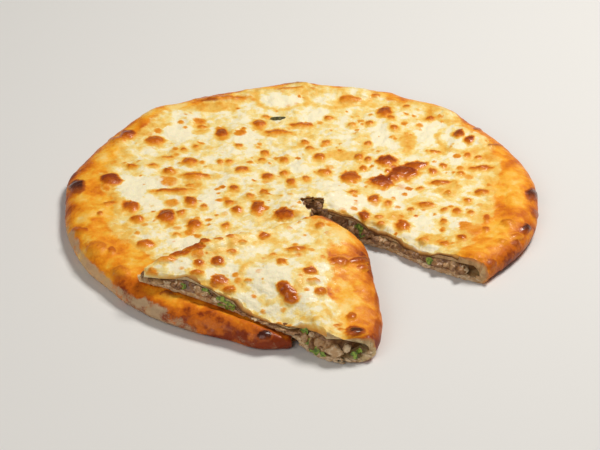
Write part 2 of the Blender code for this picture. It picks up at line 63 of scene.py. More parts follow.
# Camera, as fitted to the outline in the photograph
CAMERA_DISTANCE = 1600.0
CAMERA_ELEVATION = 32.2
FOCAL_PIXELS = 2692.8
SENSOR_WIDTH = 36.0
IMAGE_SIZE = (600, 450)
AIM_HEIGHT = 8.0
AIM_PIXEL = (301.0, 205.5)

# Outline of the round, as a radius about the origin
ROUND_RADIUS = 140.0
BACK_EXTRA = 3.2
# Bulges of the outline: angle and half width in degrees, and height
ROUND_BULGES = (
    (-36.0, 16.0, -10.0), (15.0, 18.0, 2.4), (51.0, 6.5, 4.2), (67.0, 3.5, 3.4), (82.0, 5.0, -2.0),
    (93.0, 5.0, 2.6), (110.0, 10.0, -1.4), (129.0, 5.0, 3.8), (168.0, 7.0, 2.6), (216.0, 6.0, -1.4),
    (261.0, 5.5, 4.6),
)

# The wedge that the slice came from, and the slice as it lies
CUT_TIP = (6.5, -12.5)
RIGHT_CUT = -30.2
LEFT_CUT = 264.4
# How far the foot of the right cut stands out of its straight line, by the distance from the tip
RIGHT_CUT_AT = (0.0, 25.0, 40.0, 54.0, 62.0, 70.0, 77.0, 88.0, 102.0, 112.0, 125.0, 140.0)
RIGHT_CUT_PUSH = (0.0, -0.5, -1.0, -1.4, 0.4, 2.0, 3.6, 3.5, 3.4, 2.4, 0.8, 0.0)
# The cut faces lean back from their foot: how far in all, over which height, and full from where on
CUT_LEAN = 4.0
LEAN_HEIGHT = 12.0
LEAN_START = 30.0
SLICE_TIP = (-86.0, -91.0)
SLICE_FRONT = -28.5
SLICE_BACK = 28.2
SLICE_RIM_ANGLES = (-28.5, -22.0, -16.0, -6.0, 5.0, 15.0, 22.0, 28.2)
SLICE_RIM_REACH = (129.0, 134.0, 134.5, 130.0, 126.5, 127.0, 121.0, 115.0)

# Heights of the slice's front cut, by the distance from its tip
FRONT_TOP_AT = (0.0, 14.0, 24.0, 34.0, 42.0, 52.0, 63.0, 72.0, 80.0, 87.0, 92.0, 97.0, 104.0, 113.0, 119.0,
                127.0, 140.0)
FRONT_TOP = (25.6, 24.8, 25.8, 24.5, 22.4, 20.6, 17.8, 15.4, 14.2, 13.2, 14.4, 17.4, 21.4, 16.6, 15.8,
             18.2, 16.2)
FRONT_BOTTOM_AT = (0.0, 14.0, 25.0, 45.0, 60.0, 75.0, 86.0, 92.0, 97.0, 102.0, 108.0, 140.0)
FRONT_BOTTOM = (15.2, 14.4, 13.2, 12.6, 11.6, 10.4, 9.9, 9.0, 5.0, 1.2, 0.2, 0.2)
FRONT_BLEND = 16.0
# The slice's front cut turns back near the rim: how far its foot stands forward, and reaches along
FRONT_CUT_AT = (0.0, 98.0, 104.0, 110.0, 115.0, 119.0, 124.0, 129.0, 133.0, 137.0)
FRONT_CUT_PUSH = (0.0, 0.0, 0.0, 1.0, 2.2, 1.2, -5.5, -11.0, -12.0, -12.0)
FRONT_REACH = 9.0
FRONT_REACH_AT = (108.0, 129.0)
# The slice's tip is drawn out
TIP_REACH = 4.5
TIP_REACH_WIDTH = 20.0

# Section of both breads: height of the middle, height at which the rim is widest, and how far inside the
# outline the rim's crest and its foot lie
MIDDLE_HEIGHT = 12.3
RIM_WIDEST = 5.0
RIM_CREST_INSET = 13.0
RIM_FOOT_INSET = 5.0
# The rim's wall outside the pocket, and the length of the pocket's rounded end. The crust over the slice's
# pocket thins towards the rim by this much over this distance
ROUND_RIM_WALL = 4.5
SLICE_RIM_WALL = 2.6
SLICE_RIM_THINNING = 1.9
THINNING_OVER = 10.4
POCKET_NOSE = 4.0
# Thickness of the layers. Where the bread is too thin for them, all of them shrink to the same share
BOTTOM_LAYER = 2.4
TOP_LAYER = 1.5
CHEESE_LAYER = 2.2
CLEARANCE = 0.3
FILLING_LEAST = 0.6
LEAST_SHARE = 0.2
REACH_ROUNDS = 6
# The cheese ends this far inside the outline, and the dough under it reaches a little further out
CHEESE_INSET = 19.0
SLICE_CHEESE_INSET = 17.0
GROOVE = 0.3

# Broad forms of the round's top
CENTRE_RISE = 1.5
CENTRE_WIDTH = 80.0
RIM_RISE = 0.9
RIM_RISE_WIDTH = 8.0
TIP_LIFT = 6.4
TIP_LIFT_WIDTH = 22.0
DIP_PLACE = (56.0, -41.0)
DIP_DEPTH = 3.0
DIP_WIDTH = 24.0
# Large air bubbles under the cheese: x, y, radius and height
ROUND_BUBBLES = (
    (-99.0, 98.0, 15.0, 3.4), (-11.0, 121.0, 15.0, 2.6), (19.0, 126.0, 16.0, 2.8), (103.0, 68.0, 16.0, 3.2),
    (92.0, 99.0, 10.0, 2.4), (37.0, 124.0, 9.0, 2.2), (-124.0, -52.0, 11.0, 2.0),
)
SLICE_BUBBLES = (
    (-52.0, -69.0, 13.0, 1.8), (-14.0, -100.0, 16.0, 1.4), (22.0, -62.0, 12.0, 2.0),
    (26.0, -120.0, 12.0, 1.2),
)
# Broad mounds all over the top
MOUND_SEED = 11
MOUND_COUNT = 90
MOUND_RADIUS = (5.0, 14.0)
MOUND_HEIGHT = (0.3, 1.5)

# The slice lies this far above the round, and presses the cheese down round it
SLICE_BED = 13.6
SLICE_TIP_RISE = 1.6
SLICE_TIP_RISE_WIDTH = 28.0
# Past the round's left cut the slice drops, more from this line forward, over this distance. It has
# dropped after this distance past the cut at the back, and after this much less at the front
DROP_FROM = -35.0
DROP_OVER = 112.0
DROP_LEAST = 1.5
DROP_MOST = 12.0
DROP_POWER = 0.9
DROP_EASE = 34.0
DROP_EASE_LOSS = 24.0
# The round's cheese stays this far below the slice, and sinks beside it over this margin
SLICE_GAP = 1.0
PRESS_MARGIN = 8.0
# The round's corner by its left cut sags under the slice
CORNER_PLACE = (-9.0, -128.0)
CORNER_SAG = 1.6
CORNER_WIDTH = 15.0
# Thickness of the slice, and the ridge along its back cut: height, distance from the cut, width, and the
# middle and length along the cut
SLICE_THICKNESS = 12.4
BACK_RIDGE = 3.8
RIDGE_INSET = 3.0
RIDGE_WIDTH = 8.0
RIDGE_AT = 38.0
RIDGE_LENGTH = 42.0
# Cheese that hangs down over the slice's front cut: where along it, width, depth and reach inwards, and
# how much thicker the cheese is at the tip
CURTAIN_AT = 106.0
CURTAIN_WIDTH = 7.0
CURTAIN_DEPTH = 3.4
CURTAIN_REACH = 7.0
TIP_CHEESE = 2.0
TIP_CHEESE_WIDTH = 20.0

# Torn edges at the tips: how many degrees apart the waves lie, and each layer's distance from the tip
TORN_SPACING = 42.0
ROUND_TIP = {"bottom": 2.0, "top": 6.8, "filling": 4.0, "torn": 2.2}
SLICE_TIP_CUT = {"bottom": 1.0, "top": 3.0, "filling": 1.8, "torn": 0.7}
# The filling ends this far inside the outline, and keeps clear of the crust above its end. Beside the cut
# in view it ends further in, and leaves a hollow
FILLING_INSET = 5.6
SLICE_FILLING_INSET = 7.2
SHOULDER_CLEARANCE = 0.8
SHOULDER_LENGTH = 6.0
HOLLOW_LENGTH = 10.4
HOLLOW_DEPTH = 14.0

# The cheese's edge: how far it is rounded down at a cut, over which width, and over which width at a tear
EDGE_ROUNDING = 1.3
EDGE_WIDTH = 2.2
TORN_WIDTH = 4.5
# The rounding takes away at most this share of the cheese's thickness
THINNED_MOST = 0.7
# Cheese that has run over a cut: how far its top and its underside sink, and how far it stands out
HANG_TOP = 1.1
HANG_UNDER = 2.4
HANG_OUT = 0.9
HANG_WIDTH = 2.2
HANG_SPACING = 13.0
# It ends this far from the outline, and fades out over this distance
HANG_INSET = 14.0
HANG_FADE = 10.0
# Width at the tip of the slice's drawn-out underside, and of the pale side of its cheese, on which no shade
# is painted
TONGUE_WIDTH = 11.0
SIDE_PALE = 26.0
# Ragged relief beside the cuts and about the tip: its width and share, then size, height and seed of each
# random field, and how strong it is on each axis
RAGGED_WIDTH = 5.0
RAGGED_TIP_WIDTH = 13.0
RAGGED_TIP_SHARE = 1.4
RAGGED_DOUGH = ((4.5, 0.8, 71), (2.0, 0.45, 75))
RAGGED_DOUGH_FORM = (1.0, 1.0, 0.7)
RAGGED_FILLING_WIDTH = 3.0
RAGGED_FILLING = ((3.4, 0.8, 81), (1.7, 0.5, 85))
RAGGED_FILLING_FORM = (1.0, 1.0, 0.2)
# Lumps seen on the cut faces: distance from the tip, radius, share of the way up, paleness from 0 to 1
ROUND_LUMPS = (
    (24.0, 2.6, 0.9, 0.97), (27.0, 1.8, 0.6, 0.95), (41.0, 2.2, 0.5, 0.2), (69.0, 2.6, 0.5, 0.93),
    (72.0, 2.0, 0.7, 0.92), (101.0, 2.4, 0.4, 0.95), (90.0, 2.8, 0.5, 0.8), (12.0, 2.6, 0.6, 0.3),
    (55.0, 2.6, 0.4, 0.7),
)
SLICE_LUMPS = (
    (22.0, 2.2, 0.5, 0.75), (33.0, 2.2, 0.5, 0.8), (44.0, 1.8, 0.3, 0.96), (58.0, 1.8, 0.5, 0.92),
    (100.0, 2.4, 0.3, 0.75), (108.0, 3.4, 0.5, 0.85), (112.5, 3.0, 0.6, 0.8), (119.5, 2.9, 0.55, 0.97),
    (116.0, 4.2, 0.0, 0.9),
)
# How many more lumps lie on the first and on the second cut face
ROUND_LUMP_COUNTS = (92, 34)
SLICE_LUMP_COUNTS = (76, 56)
# Size of those lumps: the least, and how much more the largest have, most of them being small
MEAT_LEAST = 1.2
MEAT_MORE = 2.4
MEAT_POWER = 1.5
# How far a lump stands out of the cut as a share of its size, and the size of those at the torn tip
MEAT_OUT = (-0.6, 0.1)
TIP_MEAT_SIZE = (0.9, 2.2)
# A lump is stretched by a random factor on each axis, and fills at most this share of the room on each side
MEAT_STRETCH = (0.7, 1.3)
MEAT_ROOM = 0.46
# Dents of the lumps: depth as a share of the radius, size, and the steps of the ball that they are made from
DENT_DEPTH = 0.42
DENT_SIZE = 0.9
DENT_SPREAD = 1.5
BALL_STEPS = 3
# Crumbs along the foot of a cut: how many for each lump, size, how far they stand out and lie below the
# filling, their form, longer than high, and how pale they are
CRUMBS_PER_LUMP = 3
CRUMB_SIZE = (0.5, 1.6)
CRUMB_OUT = (-0.7, 0.0)
CRUMB_DROP = (0.3, 2.2)
CRUMB_PALE = (0.86, 1.0)
CRUMB_FORM = (1.9, 0.7, 0.75)
# Herb leaves on the cut faces: distance from the tip, length, share of the way up, turn in degrees
ROUND_LEAVES = (
    (30.0, 7.5, 0.85, 20.0), (33.0, 5.0, 0.5, -10.0), (81.0, 6.0, 0.6, -15.0), (62.0, 3.0, 0.6, 30.0),
)
SLICE_LEAVES = (
    (24.0, 4.5, 0.6, -35.0), (37.0, 6.0, 0.9, -20.0), (48.0, 8.0, 0.8, -25.0), (53.0, 7.0, 0.6, -10.0),
    (99.0, 5.0, 0.9, 15.0), (103.0, 7.5, 0.3, -25.0), (107.0, 7.0, 0.1, 5.0), (105.0, 5.0, 0.2, 50.0),
    (112.0, 4.0, 0.1, -30.0), (122.5, 5.0, 0.25, -70.0), (123.5, 4.0, 0.45, 40.0),
)
# Form of a herb leaf: half width as a share of its length, how far its edge waves, and how far it stands
# out of the cut; then its wave across and its half thickness
LEAF_WIDTH = 0.34
LEAF_EDGE = 0.25
LEAF_OUT = 1.5
LEAF_WAVE = 0.35
LEAF_HALF = 0.12
# Place, length, width and thickness of the leaf that lies on the cheese
TOP_LEAF = (-14.3, 93.4)
TOP_LEAF_LENGTH = 9.0
TOP_LEAF_WIDTH = 3.6
TOP_LEAF_THICKNESS = 0.5
TOP_LEAF_LIFT = 0.9
TOP_LEAF_DROOP = 0.3
# Mesh fineness
ROUND_COLUMNS = 720
SLICE_COLUMNS = 180
TOP_ROWS = 100
LOW_RIM_ROWS = 8
HIGH_RIM_ROWS = 15
SHOULDER_ROWS = 7
UNDER_ROWS = 16
BOTTOM_ROWS = 8
FILLING_COLUMNS = 60
FILLING_ROWS = 110
FILLING_LEVELS = 9

# Width of the orange crust inside the outline, by the angle about the tip
ROUND_CRUST_AT = (-30.2, 0.0, 30.0, 60.0, 90.0, 120.0, 150.0, 180.0, 210.0, 240.0, 264.4)
ROUND_CRUST = (25.0, 28.0, 17.0, 11.0, 10.0, 12.0, 16.0, 24.0, 29.0, 34.0, 36.0)
SLICE_CRUST_AT = (-28.5, -22.0, -15.0, 0.0, 15.0, 28.2)
SLICE_CRUST = (15.0, 18.0, 25.0, 21.0, 18.0, 17.0)
# How much darker than golden the crust is baked, at the same angles
ROUND_ROAST = (0.1, 0.12, 0.0, 0.1, 0.25, 0.2, 0.05, 0.05, 0.1, 0.35, 0.6)
SLICE_ROAST = (0.1, 0.1, 0.05, 0.1, 0.1, 0.2)
EDGE_ROAST = 0.4
EDGE_ROAST_WIDTH = 7.0

# Browned blisters seen in the photograph: pixel column and row, width, height and depth of colour
ROUND_SPOTS = (
    (128, 134, 16, 9, 0.95), (155, 141, 18, 9, 0.75), (111, 180, 20, 14, 0.95), (132, 166, 10, 5, 0.6),
    (168, 157, 13, 3, 0.6), (184, 149, 6, 4, 0.6), (196, 146, 6, 4, 0.6), (222, 133, 12, 10, 0.9),
    (202, 126, 9, 4, 0.6), (153, 165, 8, 4, 0.6), (190, 162, 16, 8, 0.7), (169, 171, 12, 5, 0.7),
    (198, 175, 28, 4, 0.65), (173, 190, 35, 5, 0.8), (190, 185, 8, 4, 0.5), (234, 187, 9, 6, 0.85),
    (191, 201, 12, 10, 0.85), (204, 206, 7, 5, 0.6), (229, 202, 9, 6, 0.7), (237, 210, 10, 7, 0.75),
    (131, 207, 16, 12, 0.8), (137, 219, 13, 7, 0.7), (100, 213, 7, 5, 0.6), (109, 203, 14, 5, 0.6),
    (167, 216, 17, 14, 0.9), (181, 213, 9, 6, 0.6), (194, 225, 13, 10, 0.75), (146, 244, 18, 8, 0.7),
    (177, 235, 9, 7, 0.4), (226, 226, 8, 7, 0.6), (259, 124, 12, 8, 0.75), (302, 125, 22, 6, 0.65),
    (279, 132, 24, 6, 0.65), (266, 116, 7, 4, 0.6), (329, 118, 9, 5, 0.6), (350, 99, 22, 8, 0.5),
    (385, 112, 14, 10, 0.85), (391, 117, 8, 5, 0.6), (376, 95, 8, 4, 0.6), (370, 123, 8, 5, 0.6),
    (394, 127, 8, 5, 0.6), (352, 125, 8, 5, 0.4), (239, 145, 8, 5, 0.6), (265, 152, 9, 6, 0.6),
    (262, 159, 8, 5, 0.55), (284, 160, 8, 5, 0.6), (229, 161, 6, 4, 0.55), (220, 162, 6, 4, 0.5),
    (242, 169, 12, 6, 0.7), (268, 176, 11, 7, 0.75), (283, 173, 8, 5, 0.6), (291, 182, 9, 7, 0.7),
    (306, 178, 7, 5, 0.55), (319, 157, 11, 7, 0.7), (305, 143, 9, 5, 0.6), (310, 148, 8, 5, 0.55),
    (326, 142, 9, 5, 0.6), (325, 172, 15, 6, 0.65), (359, 157, 9, 6, 0.6), (368, 159, 8, 5, 0.6),
    (386, 161, 20, 9, 0.9), (368, 144, 8, 5, 0.6), (363, 168, 8, 5, 0.6), (350, 177, 18, 12, 0.8),
    (381, 182, 22, 12, 0.95), (404, 172, 28, 14, 0.92), (418, 165, 18, 8, 0.85), (393, 177, 14, 8, 0.85),
    (353, 192, 9, 6, 0.6),
    (373, 199, 11, 8, 0.8), (388, 203, 8, 6, 0.6), (264, 192, 8, 6, 0.6), (250, 196, 7, 5, 0.55),
    (258, 208, 14, 14, 0.8), (285, 214, 20, 12, 0.85), (406, 106, 7, 4, 0.6), (430, 118, 9, 6, 0.7),
    (459, 134, 10, 7, 0.9), (469, 139, 10, 7, 0.95), (436, 152, 12, 4, 0.6), (467, 155, 7, 5, 0.6),
    (478, 157, 7, 5, 0.6), (480, 168, 24, 5, 0.7), (461, 173, 8, 5, 0.6), (433, 172, 9, 6, 0.65),
    (443, 166, 8, 5, 0.6), (441, 182, 22, 5, 0.75), (482, 192, 16, 6, 0.7), (448, 193, 8, 5, 0.55),
    (420, 188, 8, 5, 0.55), (468, 200, 8, 5, 0.6), (426, 204, 16, 6, 0.7), (411, 209, 8, 5, 0.6),
    (457, 211, 8, 6, 0.65), (444, 209, 7, 5, 0.55), (471, 213, 7, 5, 0.55), (364, 215, 9, 12, 0.85),
    (379, 216, 8, 5, 0.55), (381, 223, 8, 5, 0.6), (403, 226, 13, 12, 0.75), (444, 221, 8, 6, 0.55),
    (462, 237, 9, 7, 0.8), (487, 219, 7, 8, 0.65), (486, 229, 8, 6, 0.65), (444, 243, 10, 6, 0.6),
    (424, 240, 12, 6, 0.4), (508, 222, 14, 8, 0.5), (517, 236, 12, 8, 0.55), (503, 241, 10, 6, 0.5),
    (80, 230, 19, 8, 0.7), (96, 248, 24, 17, 0.5), (112, 250, 9, 8, 0.7), (121, 271, 18, 12, 0.5),
    (222, 98, 54, 6, 0.6), (290, 88, 24, 4, 0.5), (118, 139, 18, 6, 0.6),
)
SLICE_SPOTS = (
    (168, 252, 36, 9, 1.0), (188, 246, 30, 8, 1.0), (203, 240, 16, 7, 0.95), (218, 238, 9, 3, 0.7),
    (230, 236, 8, 4, 0.7), (165, 259, 22, 9, 0.5), (199, 262, 9, 8, 0.9), (197, 272, 14, 8, 0.65),
    (217, 261, 13, 10, 0.95), (231, 251, 10, 6, 0.6), (243, 241, 9, 5, 0.5), (264, 235, 12, 7, 0.8),
    (282, 223, 8, 5, 0.5), (296, 249, 20, 7, 0.7), (320, 225, 10, 7, 0.6), (273, 254, 8, 5, 0.5),
    (282, 262, 10, 7, 0.7), (310, 271, 14, 8, 0.9), (340, 261, 22, 11, 0.85), (359, 260, 20, 8, 1.0),
    (363, 267, 14, 8, 0.85), (220, 280, 18, 12, 0.85), (229, 289, 14, 8, 0.7),
    (248, 280, 8, 5, 0.5), (283, 286, 12, 10, 0.9), (288, 292, 15, 12, 0.95), (292, 299, 14, 11, 0.85),
    (313, 281, 12, 7, 0.45), (320, 292, 14, 9, 0.75), (352, 316, 11, 9, 0.8), (355, 331, 20, 12, 1.0),
    (337, 325, 7, 5, 0.6), (341, 329, 6, 4, 0.5),
)
# Scorched places on the rims, read in the same way. One on the round, under the slice's tip, is painted
# shadow that the slice casts on the rim
ROUND_SCORCHES_AND_SHADOW = (
    (77, 187, 17, 15, 0.9), (532, 195, 13, 13, 0.85), (535, 214, 8, 10, 0.6), (526, 228, 12, 9, 0.9),
    (516, 243, 10, 7, 0.6), (492, 263, 10, 10, 0.5), (495, 145, 16, 5, 0.4), (480, 128, 14, 5, 0.6),
    # (167, 293) is painted shadow, cast by the slice's tip on the round's rim below it
    (265, 335, 17, 12, 0.95), (211, 331, 9, 6, 0.6), (167, 293, 14, 7, 0.5), (300, 83, 40, 3, 0.4),
    (210, 100, 20, 3, 0.5),
)
SLICE_SCORCHES = (
    (356, 331, 17, 9, 0.95), (362, 258, 16, 5, 0.7), (377, 332, 7, 24, 0.5), (377, 304, 6, 34, 0.45),
    (371, 272, 6, 22, 0.45),
)
# Pale and golden patches of the cheese, read in the same way
ROUND_PALE = (
    (179, 113, 40, 18, 0.7), (180, 132, 30, 14, 0.9), (132, 187, 24, 22, 0.9), (156, 182, 30, 10, 0.8),
    (151, 204, 20, 14, 0.8), (211, 200, 20, 18, 0.7), (215, 176, 24, 10, 0.6), (279, 101, 30, 14, 0.8),
    (246, 137, 26, 12, 0.6), (187, 242, 26, 8, 0.8), (397, 191, 30, 12, 1.0), (420, 225, 26, 16, 0.8),
    (353, 203, 32, 14, 1.0), (434, 131, 30, 22, 0.7), (456, 150, 14, 22, 0.8), (389, 96, 20, 10, 0.6),
    (320, 108, 18, 16, 0.6), (381, 138, 14, 14, 0.8), (458, 222, 20, 12, 0.7), (308, 116, 14, 14, 0.8),
    (412, 233, 18, 8, 0.8), (300, 168, 16, 12, 0.6), (335, 186, 22, 10, 0.6),
)
SLICE_PALE = (
    (263, 297, 34, 26, 1.0), (300, 300, 20, 20, 0.6), (240, 270, 26, 14, 0.7), (298, 262, 18, 10, 0.7),
    (180, 262, 20, 10, 0.8), (325, 280, 22, 12, 0.5), (305, 236, 20, 10, 0.5), (322, 264, 14, 8, 0.6),
    (342, 290, 18, 20, 0.9), (352, 300, 14, 12, 0.8), (338, 248, 16, 10, 0.6), (250, 262, 30, 16, 0.5),
    (310, 302, 30, 22, 0.8), (215, 270, 16, 10, 0.5), (275, 272, 30, 20, 0.6), (330, 300, 20, 14, 0.6),
    (300, 225, 20, 10, 0.5), (262, 247, 20, 6, 0.4),
)
ROUND_GOLD = (
    (132, 130, 26, 10, 0.8), (206, 106, 60, 8, 0.9), (156, 123, 22, 8, 0.8), (201, 126, 14, 12, 0.8),
    (103, 163, 16, 12, 0.8), (122, 231, 22, 12, 0.9), (194, 183, 14, 8, 0.8), (408, 141, 12, 14, 0.9),
    (430, 238, 26, 8, 0.9), (495, 153, 20, 14, 0.9), (347, 155, 30, 8, 0.8), (447, 189, 22, 10, 0.8),
    (112, 198, 20, 12, 0.7), (400, 215, 22, 8, 0.5), (300, 92, 30, 5, 0.8), (365, 102, 60, 5, 0.6),
)
SLICE_GOLD = (
    (254, 259, 30, 12, 0.8), (322, 226, 30, 16, 0.9), (300, 276, 12, 16, 0.5), (310, 310, 26, 16, 0.8),
    (335, 290, 20, 14, 0.6), (270, 243, 30, 10, 0.6), (200, 284, 30, 8, 0.6), (340, 240, 26, 16, 0.9),
)
# Small mounds of the cheese: spacing, height as a share of it, and how many of them are browned
MOUNDS = ((10.0, 0.085, 0.10), (5.2, 0.10, 0.15), (3.0, 0.10, 0.07))
# How brown a browned mound is: the middle, how far it varies, and over which distance
SPECK_TONE = 0.36
SPECK_RANGE = 0.3
SPECK_SPACING = 9.0

# A spot's edge is uneven: size and height of each random field
SPOT_WAVES = ((3.2, 0.22), (1.5, 0.14))
# A round spot looks about this much wider than it is high
FORESHORTENING = 1.8
# A spot reaches this share of its size from its middle, and this many millimetres more
SPOT_REACH = 1.4
SPOT_MARGIN = 3.0
# The domes lift the colour of a spot by about this many pixels, so it is stamped lower
SPOT_DROP = 1.4
# The colour lies higher than the dome by this share of the spot's half height, and is paler at its foot
SHADE_SHIFT = 0.16
CRESCENT = 0.34
# Softness of the edge as a share of the radius: for a large spot, and how much more for a small one
EDGE_SOFTNESS = (0.45, 0.5)
# Width of the golden halo, and height of the dome as a share of the radius and at the most
HALO_WIDTH = 2.6
DOME_SHARE = 0.45
DOME_MOST = 1.7
# Added to the distance of what the camera can't see, so that no spot is held to it
UNSEEN = 1000.0

# Colour of a bubble under the cheese: pale up to this share of its radius, then a golden ring
BUBBLE_PALE = 0.75
BUBBLE_RING = 1.15
BUBBLE_RING_WIDTH = 2.6

# The border of the crust: how far it wanders, how soft it is, and the golden melt beside it
CRUST_WANDER = 6.0
CRUST_SOFTNESS = 9.0
MELT_REACH = 13.0
MELT_SOFTNESS = 18.0
# Flour on the rim's side grows to the left of this x and in front of this y, each over this distance
FLOUR_LEFT = (-45.0, 30.0)
FLOUR_FRONT = (-8.0, 36.0)
# How much there is at least, how much more at the left front, and how uneven it is
FLOUR_LEAST = 0.18
FLOUR_MORE = 0.5
FLOUR_UNEVEN = 0.3
# Its upper border: height above the rim's widest place, more at the left front, unevenness and softness
FLOUR_HEIGHT = 4.0
FLOUR_HEIGHT_MORE = 3.0
FLOUR_BORDER = 2.0
FLOUR_FADE = 4.0
# Roast of the crust, before the baking by the angle: the middle, and size, height and seed of each field
ROAST = 0.33
ROAST_WAVES = ((18.0, 0.3, 11), (8.0, 0.34, 17))

# Fine unevenness of the skin: size and height of each random field and its seed, on the cheese alone,
# everywhere, and on the crust alone
CHEESE_WAVES = ((16.0, 0.5, 0), (7.0, 0.2, 6))
SKIN_GRAIN = (2.4, 0.10, 3)
CRUST_WAVES = (10.0, 0.22, 4)

# Colours of the cheese's and of the dough's underside: browning, crust, scorch and flour, then halo,
# roast, pale and the unshaded share: below 1, brown shade is painted on the cheese's side
UNDER_BAKE = (0.0, 0.35, 0.0, 0.0)
UNDER_GLAZE = (1.0, 0.9, 0.0, 0.0)
BOTTOM_BAKE = (0.15, 1.0, 0.0, 0.35)
BOTTOM_GLAZE = (0.5, 0.5, 0.0, 1.0)

# Colours that a finish goes through, as low and high of the value and screen red, green and blue
CHEESE_STEPS = ((0.50, 0.62, (251, 224, 146)), (0.60, 0.78, (245, 194, 90)), (0.76, 1.0, (232, 154, 38)))
CRUST_STEPS = (
    (-0.2, 0.25, (254, 186, 58)), (0.15, 0.5, (245, 150, 24)), (0.4, 0.85, (212, 108, 12)),
    (0.8, 1.2, (138, 50, 5)),
)
SPOT_STEPS = ((0.04, 0.38, (236, 148, 30)), (0.3, 0.64, (204, 102, 10)), (0.6, 0.98, (142, 52, 4)))
MEAT_STEPS = ((0.6, 0.74, (192, 150, 102)), (0.86, 0.98, (222, 194, 154)))

# Nothing reaches past the solids' box less this margin
BOX_MARGIN = 0.03

# Lights: name, place in metres, size, power and colour
LIGHTS = (
    ("key", (0.55, 0.4, 1.15), 0.42, 15.2, (1.0, 0.97, 0.92)),
    ("fill", (-0.6, -1.1, 0.9), 1.0, 8.0, (1.0, 0.97, 0.93)),
)
SKY_STRENGTH = 0.1
# The floor in metres: its corners, how far it lies below the bread, and its colour
FLOOR_CORNERS = ((-3.0, -3.0, 0.0), (3.0, -3.0, 0.0), (3.0, 5.0, 0.0), (-3.0, 5.0, 0.0))
FLOOR_DROP = 0.0004
FLOOR_COLOUR = (0.78, 0.77, 0.75, 1.0)

UPWARD = np.array([0.0, 0.0, 1.0])
# Length of the table that random values are read from, and the factors that spread its places
NOISE_TABLE = 65536
NOISE_PRIMES = (73856093, 19349663, 83492791)
# Turns of the quarter ellipses up the rim, in degrees, and the row at which the cheese begins
LOW_RIM_TURN = np.linspace(-90.0, 0.0, LOW_RIM_ROWS, endpoint=False)
HIGH_RIM_TURN = np.linspace(0.0, 90.0, HIGH_RIM_ROWS)
RIM_ROWS = LOW_RIM_ROWS + HIGH_RIM_ROWS + SHOULDER_ROWS - 2


def smooth_step(value):
    """Goes from 0 to 1 with level ends as value goes from 0 to 1."""
    value = np.clip(value, 0.0, 1.0)
    return value * value * (3.0 - 2.0 * value)


def bump(distance, width):
    """A bell of height 1 that falls off with distance."""
    return np.exp(-((distance / width) ** 2))


def through(value, places, heights):
    """A smooth curve through the given heights: a cubic between each two places, with shared slopes."""
    places = np.asarray(places)
    heights = np.asarray(heights)
    slopes = np.gradient(heights, places)
    value = np.clip(value, places[0], places[-1])
    left = np.clip(np.searchsorted(places, value, side="right") - 1, 0, len(places) - 2)
    step = places[left + 1] - places[left]
    t = (value - places[left]) / step
    return (
        heights[left] * (1.0 + 2.0 * t) * (1.0 - t) ** 2
        + slopes[left] * step * t * (1.0 - t) ** 2
        + heights[left + 1] * t**2 * (3.0 - 2.0 * t)
        + slopes[left + 1] * step * t**2 * (t - 1.0)
    )


def turned(angle):
    """Unit vector at an angle in degrees."""
    return np.cos(np.radians(angle)), np.sin(np.radians(angle))


def wander(points, size, seed):
    """Smooth random field from -1 to 1: seeded values at the corners of cubes of that size, blended."""
    table = np.random.default_rng(seed).uniform(-1.0, 1.0, NOISE_TABLE)
    scaled = points / size
    cell = np.floor(scaled).astype(np.int64)
    share = smooth_step(scaled - cell)
    total = np.zeros(points.shape[:-1])
    for corner in np.ndindex(2, 2, 2):
        key = np.bitwise_xor.reduce((cell + corner) * NOISE_PRIMES, axis=-1) % NOISE_TABLE
        weight = np.where(np.array(corner) == 1, share, 1.0 - share).prod(-1)
        total += weight * table[key]
    return total


def rough(points, size, seed):
    """Three octaves of the random field, each half the size and half the height of the one before."""
    return sum(wander(points, size / 2**k, seed + k) / 2**k for k in range(3))


def pebbles(points, size, seed):
    """Rounded mounds as shares of their size, and a random value for each.

    Each square of the ground has one, with its own place, width and height: height * (1 - distance^2).
    """
    table = np.random.default_rng(seed).random((NOISE_TABLE, 5))
    scaled = points[..., :2] / size
    cell = np.floor(scaled).astype(np.int64)
    total, value = np.zeros(points.shape[:-1]), np.zeros(points.shape[:-1])
    for shift in np.ndindex(3, 3):
        here = cell + shift - np.array([1, 1])
        entry = table[np.bitwise_xor.reduce(here * NOISE_PRIMES[:2], axis=-1) % NOISE_TABLE]
        far = np.linalg.norm(scaled - here - entry[..., :2], axis=-1) / (0.3 + 0.45 * entry[..., 2])
        mound = (0.3 + 0.7 * entry[..., 3]) * np.clip(1.0 - far**2, 0.0, 1.0)
        value = np.where(mound > total, entry[..., 4], value)
        total = np.maximum(total, mound)
    return total, value


def drift(points, size, seed):
    """A random vector field: one random field for each axis."""
    return np.stack([wander(points, size, seed + 10 * axis) for axis in range(3)], -1)


def ragged(points, waves, form):
    """Sum of random vector fields of the given sizes, heights and seeds, scaled on each axis by the form."""
    return sum(height * drift(points, size, seed) for size, height, seed in waves) * form


def outline_radius(angle):
    """The round's radius about the origin: a circle, larger at the back, with a few bulges."""
    radius = ROUND_RADIUS + BACK_EXTRA * np.sin(np.radians(angle))
    for centre, width, height in ROUND_BULGES:
        away = (angle - centre + 180.0) % 360.0 - 180.0
        radius = radius + height * bump(away, width)
    return radius


def lumps(x, y, bubbles):
    """Uneven top: the named bubbles and many seeded mounds, each a bell."""
    draw = np.random.default_rng(MOUND_SEED)
    reach = ROUND_RADIUS * np.sqrt(draw.random(MOUND_COUNT))
    angle = draw.random(MOUND_COUNT) * 2.0 * math.pi
    radius = draw.uniform(*MOUND_RADIUS, MOUND_COUNT)
    height = draw.uniform(*MOUND_HEIGHT, MOUND_COUNT)
    total = np.zeros_like(x)
    for r, a, w, h in zip(reach, angle, radius, height):
        total += h * bump(np.hypot(x - r * math.cos(a), y - r * math.sin(a)), w)
    for bx, by, w, h in bubbles:
        total += h * bump(np.hypot(x - bx, y - by), w)
    return total


